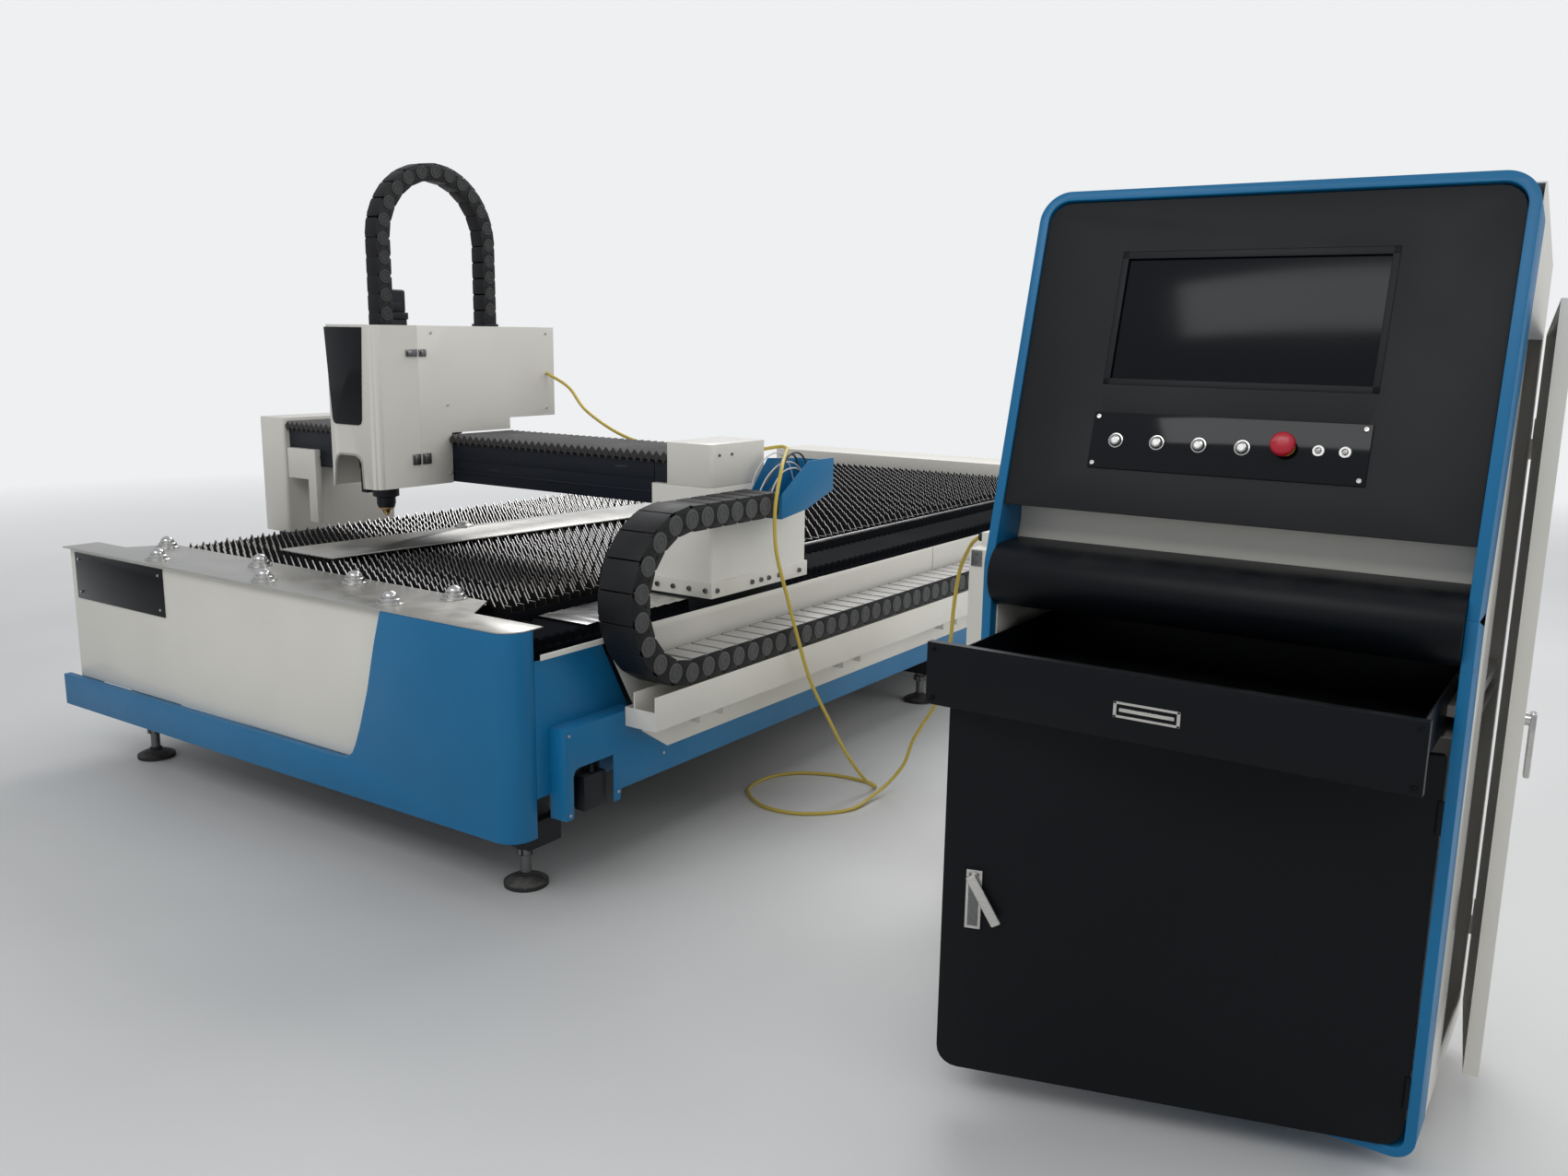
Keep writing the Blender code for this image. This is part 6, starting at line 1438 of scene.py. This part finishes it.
CONSOLE_X = (2.208, 3.087)
CONSOLE_FRONT_Y = 0.175
CONSOLE_LOW = 0.050
CONSOLE_WAIST = 1.030
CONSOLE_TILT = math.radians(15.7)
CONSOLE_TOP_RISE = 0.7542
CONSOLE_RISE = Matrix.Translation((0, CONSOLE_FRONT_Y, CONSOLE_WAIST)) @ Matrix.Rotation(
    -CONSOLE_TILT, 4, "X")
BAND_DEPTH = 0.100
BAND_WALL = 0.019
BAND_TOP_RADIUS = 0.060
BAND_LOW_RADIUS = 0.040
BAND_STEPS = 16
BAND_SEAM = ((3.08705, 3.0873), (0.1743, 0.2200), (0.9440, 0.9455))
PALE_LINERS = (((3.0640, 3.0677), (0.275, 0.300), (0.800, 0.944)),
               ((2.2275, 2.2310), (0.200, 0.300), (0.800, 0.944)))
SCREEN_X = (2.392, 2.885)
SCREEN_RISE = (0.370, 0.630)
SCREEN_DEPTH = (0.0083, 0.0123)
SCREEN_FRAME_WIDTH = 0.012
SCREEN_FRAME_TOP_WIDTH = 0.014
SCREEN_FRAME_DEPTH = (0.0040, 0.0070)
SCREEN_SIDE_DEPTH = (0.0040, 0.0069)
BUTTON_RISE = 0.2610
RING_SIDES = 36
PLATE_SCREW_SIDES = 18
STOP_SIDES = 40
BUTTON_PLATE = ((2.387, 2.885), (0.0007, 0.0037), (0.207, 0.315))
BUTTON_ROW_X = (2.437, 2.516, 2.594, 2.672)
BUTTON_TURNS = ((0.0095, -0.018), (0.0095, 0.0075), (0.0088, 0.0092), (0.0070, 0.0098),
                (0.0062, 0.0090))
BUTTON_RING = ((0.0150, -0.0007), (0.0150, 0.0010), (0.0140, 0.0030), (0.0118, 0.0034),
               (0.0110, 0.0022), (0.0108, -0.0003))
STOP_PLACE = (2.746, 0.2680)
STOP_TURNS = ((0.0095, -0.020), (0.0095, 0.0150), (0.0150, 0.0165), (0.0205, 0.0185),
              (0.0218, 0.0215), (0.0215, 0.0260), (0.0195, 0.0300), (0.0150, 0.0330),
              (0.0080, 0.0345), (0.0020, 0.0348))
STOP_COLLAR = ((0.0170, -0.0007), (0.0170, 0.0040), (0.0160, 0.0055), (0.0115, 0.0060),
               (0.0110, 0.0030))
SOCKET_PLACES = ((2.802, 0.2640), (2.846, 0.2640))
SOCKET_TURNS = ((0.0105, -0.0007), (0.0105, 0.0020), (0.0095, 0.0030), (0.0062, 0.0030),
                (0.0058, 0.0000))
PLATE_SCREWS = ((2.397, 0.306), (2.397, 0.216), (2.875, 0.306), (2.875, 0.216))
SHELF_X = (2.2273, 3.0677)
SHELF_NOSE = (0.2125, 1.0075)
SHELF_NOSE_RADIUS = 0.0625
SHELF_REAR_Y = 0.2997
NOSE_STEPS = 32
DRAWER_X = (2.229, 3.066)
DRAWER_Y = (-0.095, -0.077)
DRAWER_Z = (0.806, 0.924)
DRAWER_BODY = ((2.250, 3.045), (-0.078, 0.440), (0.815, 0.895))
DRAWER_SHEET = 0.003
HANDLE_X = (2.586, 2.700)
HANDLE_Z = (0.846, 0.874)
HANDLE_FACE = -0.0982
HANDLE_SINK = 0.0005
HANDLE_RIM = (0.0060, 0.0045)
HANDLE_PULL_INSET = 0.010
HANDLE_PULL_RISE = (0.0105, 0.0170)
DRAWER_EDGE = 0.0018
DRAWER_SCREW_INSET = 0.012
RUNNER_LEFT_X = (2.2340, 2.2375)
RUNNER_RIGHT_X = (3.0575, 3.0610)
RUNNER_Y = (0.2755, 0.700)
RUNNER_Z = (0.840, 0.848)
DOOR_HINGE = (3.063, 0.1755)
DOOR_REST_ANGLE = math.radians(16.5)
LOCK_PLATE = ((2.274, 2.304), (0.1715, 0.1735), (0.367, 0.485))
LOCK_RECESS = ((2.279, 2.299), (0.1709, 0.1716), (0.373, 0.479))
LOCK_LEVER = ((-0.010, 0.010), (0.1535, 0.1620), (-0.095, 0.012))
LOCK_SHAFT = ((0.011, 0), (0.011, 0.0107))
LOCK_SHAFT_Y = 0.1722
LOCK_PIVOT = (2.289, 0.468)
LOCK_HANDLE_TILT = math.radians(30)
LEVER_EDGE = 0.0035
LEVER_EDGE_STEPS = 4
SHAFT_SIDES = 28
RECESS_EDGE = 0.0003
SIDE_DOOR_HINGE = (3.090, 0.7745)
SIDE_DOOR_REST_ANGLE = math.radians(7.0)
SIDE_DOOR_INNER_X = (3.1085, 3.1095)
SIDE_DOOR_INNER_OUTLINE = ((0.4545, 0.1045), (0.7615, 0.1045), (0.7615, 1.4855), (0.4545, 1.5450))
SIDE_HANDLE_PIVOT = (3.1130, 0.495, 0.800)
SIDE_LEVER = ((3.1227, 3.1337), (0.4842, 0.5058), (0.690, 0.814))
SIDE_SHAFT = ((0.012, 0), (0.012, 0.0105))


def on_console(made):
    """Move a piece from the leaning front's own axes: across, depth, rise."""
    return placed(made, CONSOLE_RISE)


def corner_run(span, level, radius, rises):
    """Outline up one side, round two corners and down the other side."""
    left, right = span
    turn = QUARTER_TURN if rises else -QUARTER_TURN
    centre_z = level - radius if rises else level + radius
    return (arc((left + radius, centre_z), radius, math.pi, math.pi - turn, BAND_STEPS)
            + arc((right - radius, centre_z), radius, turn, 0, BAND_STEPS))


def make_console_body():
    left, right = CONSOLE_X
    inner = (left + BAND_WALL, right - BAND_WALL)
    inner_top_radius = BAND_TOP_RADIUS - BAND_WALL
    inner_low_radius = BAND_LOW_RADIUS - BAND_WALL
    upper = ([(left, 0)] + corner_run(CONSOLE_X, CONSOLE_TOP_RISE, BAND_TOP_RADIUS, True)
             + [(right, 0), (inner[1], 0)]
             + corner_run(inner, CONSOLE_TOP_RISE - BAND_WALL, inner_top_radius, True)[::-1]
             + [(inner[0], 0)])
    lower = ([(left, CONSOLE_WAIST)]
             + corner_run(CONSOLE_X, CONSOLE_LOW, BAND_LOW_RADIUS, False)
             + [(right, CONSOLE_WAIST), (inner[1], CONSOLE_WAIST)]
             + corner_run(inner, CONSOLE_LOW + BAND_WALL, inner_low_radius, False)[::-1]
             + [(inner[0], CONSOLE_WAIST)])
    bands = [on_console(cut_plate("blue_band", upper, (0, BAND_DEPTH), "y", edge=CASTING_EDGE)),
             cut_plate("blue_band", lower, (CONSOLE_FRONT_Y, CONSOLE_FRONT_Y + BAND_DEPTH), "y",
                       edge=CASTING_EDGE)]
    finished(together("blue_band", bands), "bed", BLUE_PAINT, ("console_band",))
    finished(block("band_seams", *BAND_SEAM, edge=0), "bed", SEAM_GREY)
    finish_solid("console_shell", CREAM_PAINT, CASTING_EDGE)
    liners = [block("pale_liners", *spans, edge=SHEET_EDGE) for spans in PALE_LINERS]
    finished(together("pale_liners", liners), "bed", CREAM_PAINT)


def make_screen():
    left, right = SCREEN_X
    low, top = SCREEN_RISE
    glass = on_console(block("screen_glass", SCREEN_X, SCREEN_DEPTH, SCREEN_RISE, edge=HAIR_EDGE))
    finished(glass, "bed", SCREEN_GLASS, ("console_screen",))
    width = SCREEN_FRAME_WIDTH
    bars = ((SCREEN_X, SCREEN_FRAME_DEPTH, (top - SCREEN_FRAME_TOP_WIDTH, top)),
            (SCREEN_X, SCREEN_FRAME_DEPTH, (low, low + width)),
            ((left, left + width), SCREEN_SIDE_DEPTH, SCREEN_RISE),
            ((right - width, right), SCREEN_SIDE_DEPTH, SCREEN_RISE))
    frames = [block("screen_frame", *spans, edge=THIN_EDGE) for spans in bars]
    finished(on_console(together("screen_frame", frames)), "bed", CONSOLE_BLACK)


def make_console_front():
    finish_solid("console_fascia", CONSOLE_BLACK, SHEET_EDGE)
    make_screen()
    finished(on_console(block("gloss_plate", *BUTTON_PLATE, edge=THIN_EDGE)), "bed", GLOSS_BLACK,
             ("button_plate",))
    depth = BUTTON_PLATE[1][0]
    lift = CONSOLE_RISE @ Matrix.Translation((0, depth, 0))
    turn = Matrix.Rotation(QUARTER_TURN, 4, "X")
    rings = []
    for number, x in enumerate(BUTTON_ROW_X):
        place = lift @ Matrix.Translation((x, 0, BUTTON_RISE)) @ turn
        node = "push_button_%d" % (number + 1)
        rings.append(placed(turned("button_rings", BUTTON_RING, RING_SIDES), place))
        button = placed(turned("silver_" + node, BUTTON_TURNS), place)
        finished(button, BODY_OF[node], CHROME, (node,))
    rings += [placed(turned("button_rings", SOCKET_TURNS),
                     lift @ Matrix.Translation((x, 0, rise)) @ turn) for x, rise in SOCKET_PLACES]
    rings += [placed(turned("button_rings", SCREW_HEAD, PLATE_SCREW_SIDES),
                     lift @ Matrix.Translation((x, 0, rise)) @ turn) for x, rise in PLATE_SCREWS]
    finished(together("button_rings", rings), "bed", CHROME)
    place = lift @ Matrix.Translation((STOP_PLACE[0], 0, STOP_PLACE[1])) @ turn
    finished(placed(turned("stop_collar", STOP_COLLAR, RING_SIDES), place), "bed", STOP_YELLOW)
    finished(placed(turned("stop_mushroom", STOP_TURNS, STOP_SIDES), place), BODY_OF["e_stop"],
             STOP_RED, ("e_stop",))
    centre_z = SHELF_NOSE[1]
    outline = ([(SHELF_REAR_Y, centre_z + SHELF_NOSE_RADIUS)]
               + arc(SHELF_NOSE, SHELF_NOSE_RADIUS, QUARTER_TURN, 3 * QUARTER_TURN, NOSE_STEPS)
               + [(SHELF_REAR_Y, centre_z - SHELF_NOSE_RADIUS)])
    finished(cut_plate("shelf_nose", outline, SHELF_X, "x"), "bed", DRAWER_BLACK,
             ("console_shelf",))


def make_drawer():
    body_x, body_y, (low, top) = DRAWER_BODY
    sheet = DRAWER_SHEET
    sheets = ((body_x, body_y, (low, low + sheet)),
              ((body_x[0], body_x[0] + sheet), body_y, (low, top)),
              ((body_x[1] - sheet, body_x[1]), body_y, (low, top)),
              (body_x, (body_y[1] - sheet, body_y[1]), (low, top)))
    parts = [block("drawer_box", DRAWER_X, DRAWER_Y, DRAWER_Z, edge=DRAWER_EDGE)]
    parts += [block("drawer_box", *spans, edge=FINE_EDGE) for spans in sheets]
    finished(together("drawer_box", parts), "drawer", DRAWER_BLACK, ("drawer",))
    make_flush_handle()
    inset = DRAWER_SCREW_INSET
    screws = [screw("drawer_screws", (x, DRAWER_Y[0], z), (0, -1, 0))
              for x in (DRAWER_X[0] + inset, DRAWER_X[1] - inset)
              for z in (DRAWER_Z[0] + inset, DRAWER_Z[1] - inset)]
    finished(together("drawer_screws", screws), "drawer", DRAWER_BLACK)
    runners = [block("drawer_runners", span_x, RUNNER_Y, RUNNER_Z, edge=HAIR_EDGE)
               for span_x in (RUNNER_LEFT_X, RUNNER_RIGHT_X)]
    finished(together("drawer_runners", runners), "bed", STAINLESS)


def make_flush_handle():
    """Rim of four bars round the drawer's sunk handle, with its pull in the middle."""
    left, right = HANDLE_X
    low, top = HANDLE_Z
    side, level = HANDLE_RIM
    face = (HANDLE_FACE, DRAWER_Y[0] + HANDLE_SINK)
    bars = ((HANDLE_X, face, (top - level, top)), (HANDLE_X, face, (low, low + level)),
            ((left, left + side), face, HANDLE_Z), ((right - side, right), face, HANDLE_Z))
    rim = [block("flush_handle", *spans, edge=THIN_EDGE) for spans in bars]
    pull_low, pull_top = HANDLE_PULL_RISE
    rim.append(block("flush_handle", (left + HANDLE_PULL_INSET, right - HANDLE_PULL_INSET),
                     (face[0] + HANDLE_SINK, face[1]), (low + pull_low, low + pull_top),
                     edge=SHEET_EDGE))
    finished(together("flush_handle", rim), "drawer", PALE_METAL)


def about(point, angle):
    """Turn about an upright axis that stands at a point."""
    place = Matrix.Translation((point[0], point[1], 0))
    return place @ Matrix.Rotation(angle, 4, "Z") @ place.inverted()


def make_doors():
    finish_solid("front_door", DRAWER_BLACK)
    ajar = about(DOOR_HINGE, DOOR_REST_ANGLE)
    plate = placed(block("lock_plate", *LOCK_PLATE, edge=THIN_EDGE), ajar)
    finished(plate, "front_door", PALE_METAL)
    recess = placed(block("lock_recess", *LOCK_RECESS, edge=RECESS_EDGE), ajar)
    finished(recess, "front_door", DARK_STEEL)
    pivot = Matrix.Translation((LOCK_PIVOT[0], 0, LOCK_PIVOT[1]))
    lean = ajar @ pivot @ Matrix.Rotation(LOCK_HANDLE_TILT, 4, "Y").inverted()
    turn = Matrix.Rotation(QUARTER_TURN, 4, "X")
    lever = [placed(block("lock_handle", *LOCK_LEVER, edge=LEVER_EDGE, steps=LEVER_EDGE_STEPS),
                    lean),
             placed(turned("lock_handle", LOCK_SHAFT, SHAFT_SIDES),
                    lean @ Matrix.Translation((0, LOCK_SHAFT_Y, 0)) @ turn)]
    finished(together("lock_handle", lever), BODY_OF["front_latch_handle"], PALE_METAL,
             ("front_latch_handle",))
    door = softened(solid_copy("side_door", "side_door_finish"), SHEET_EDGE)
    finished(door, BODY_OF["side_door"], CREAM_PAINT, ("side_door",))
    ajar = about(SIDE_DOOR_HINGE, SIDE_DOOR_REST_ANGLE)
    liner = placed(cut_plate("door_liner", SIDE_DOOR_INNER_OUTLINE, SIDE_DOOR_INNER_X, "x",
                             edge=RECESS_EDGE), ajar)
    finished(liner, BODY_OF["side_door"], DRAWER_BLACK)
    lever = [placed(block("side_handle", *SIDE_LEVER, edge=LEVER_EDGE, steps=LEVER_EDGE_STEPS),
                    ajar),
             placed(turned("side_handle", SIDE_SHAFT, SHAFT_SIDES),
                    ajar @ Matrix.Translation(SIDE_HANDLE_PIVOT)
                    @ Matrix.Rotation(QUARTER_TURN, 4, "Y"))]
    finished(together("side_handle", lever), BODY_OF["side_latch_handle"], CHROME,
             ("side_latch_handle",))


SOURCE_EDGE = 0.003
SOURCE_BRACKET = ((1.806, 1.836), (0.9465, 0.9495), (0.870, 0.912))
SOURCE_SCREW_X = 1.821
SOURCE_SCREWS_Z = (0.880, 0.902)
SOURCE_SIDE_X = 1.7998
SOURCE_BOLTS_Y = (0.980, 1.300, 1.620)
SOURCE_BOLTS_Z = (0.080, 0.880)
SOURCE_GLAND = ((0.0150, 0), (0.0150, 0.010), (0.0125, 0.012), (0.0125, 0.020), (0.0085, 0.024))
SOURCE_GLAND_PLACE = (1.8015, 1.050, 0.932)


def make_laser_source():
    finish_solid("laser_source", CREAM_PAINT, SOURCE_EDGE)
    front = SOURCE_BRACKET[1][0]
    parts = [block("source_bracket", *SOURCE_BRACKET, edge=FINE_EDGE)]
    parts += [screw("source_bracket", (SOURCE_SCREW_X, front, z), (0, -1, 0))
              for z in SOURCE_SCREWS_Z]
    parts += [screw("source_bracket", (SOURCE_SIDE_X, y, z), (-1, 0, 0), BOLT_HEAD)
              for y in SOURCE_BOLTS_Y for z in SOURCE_BOLTS_Z]
    finished(together("source_bracket", parts), "bed", DARK_STEEL)
    gland = placed(turned("source_gland", SOURCE_GLAND, HEX_SIDES),
                   Matrix.Translation(SOURCE_GLAND_PLACE)
                   @ Matrix.Rotation(-QUARTER_TURN, 4, "Y"))
    finished(gland, "bed", FRAME_BLACK)


# Cables

def blended_cable(name, node, route, count):
    """Yellow cable: a round tube along a smooth curve through its route, baked in place on no
    body.
    """
    points, length = smooth_route(route, count)
    made = finished(tube(name, points, CABLE_RADIUS), None, CABLE_YELLOW, (node,))
    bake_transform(made)


def make_cables():
    blended_cable("yellow_cable", "fibre_cable", CABLE_ROUTE, CABLE_POINTS)
    blended_cable("upper_cable", "fibre_cable_upper", UPPER_CABLE_ROUTE, UPPER_CABLE_POINTS)


make_camera()
make_surroundings()
make_slats()
make_bellows()
make_front()
make_feet()
make_sides()
make_side_chain()
make_head_chain()
make_gantry()
make_head()
make_cutting_head()
make_console_body()
make_console_front()
make_drawer()
make_doors()
make_laser_source()
make_cables()
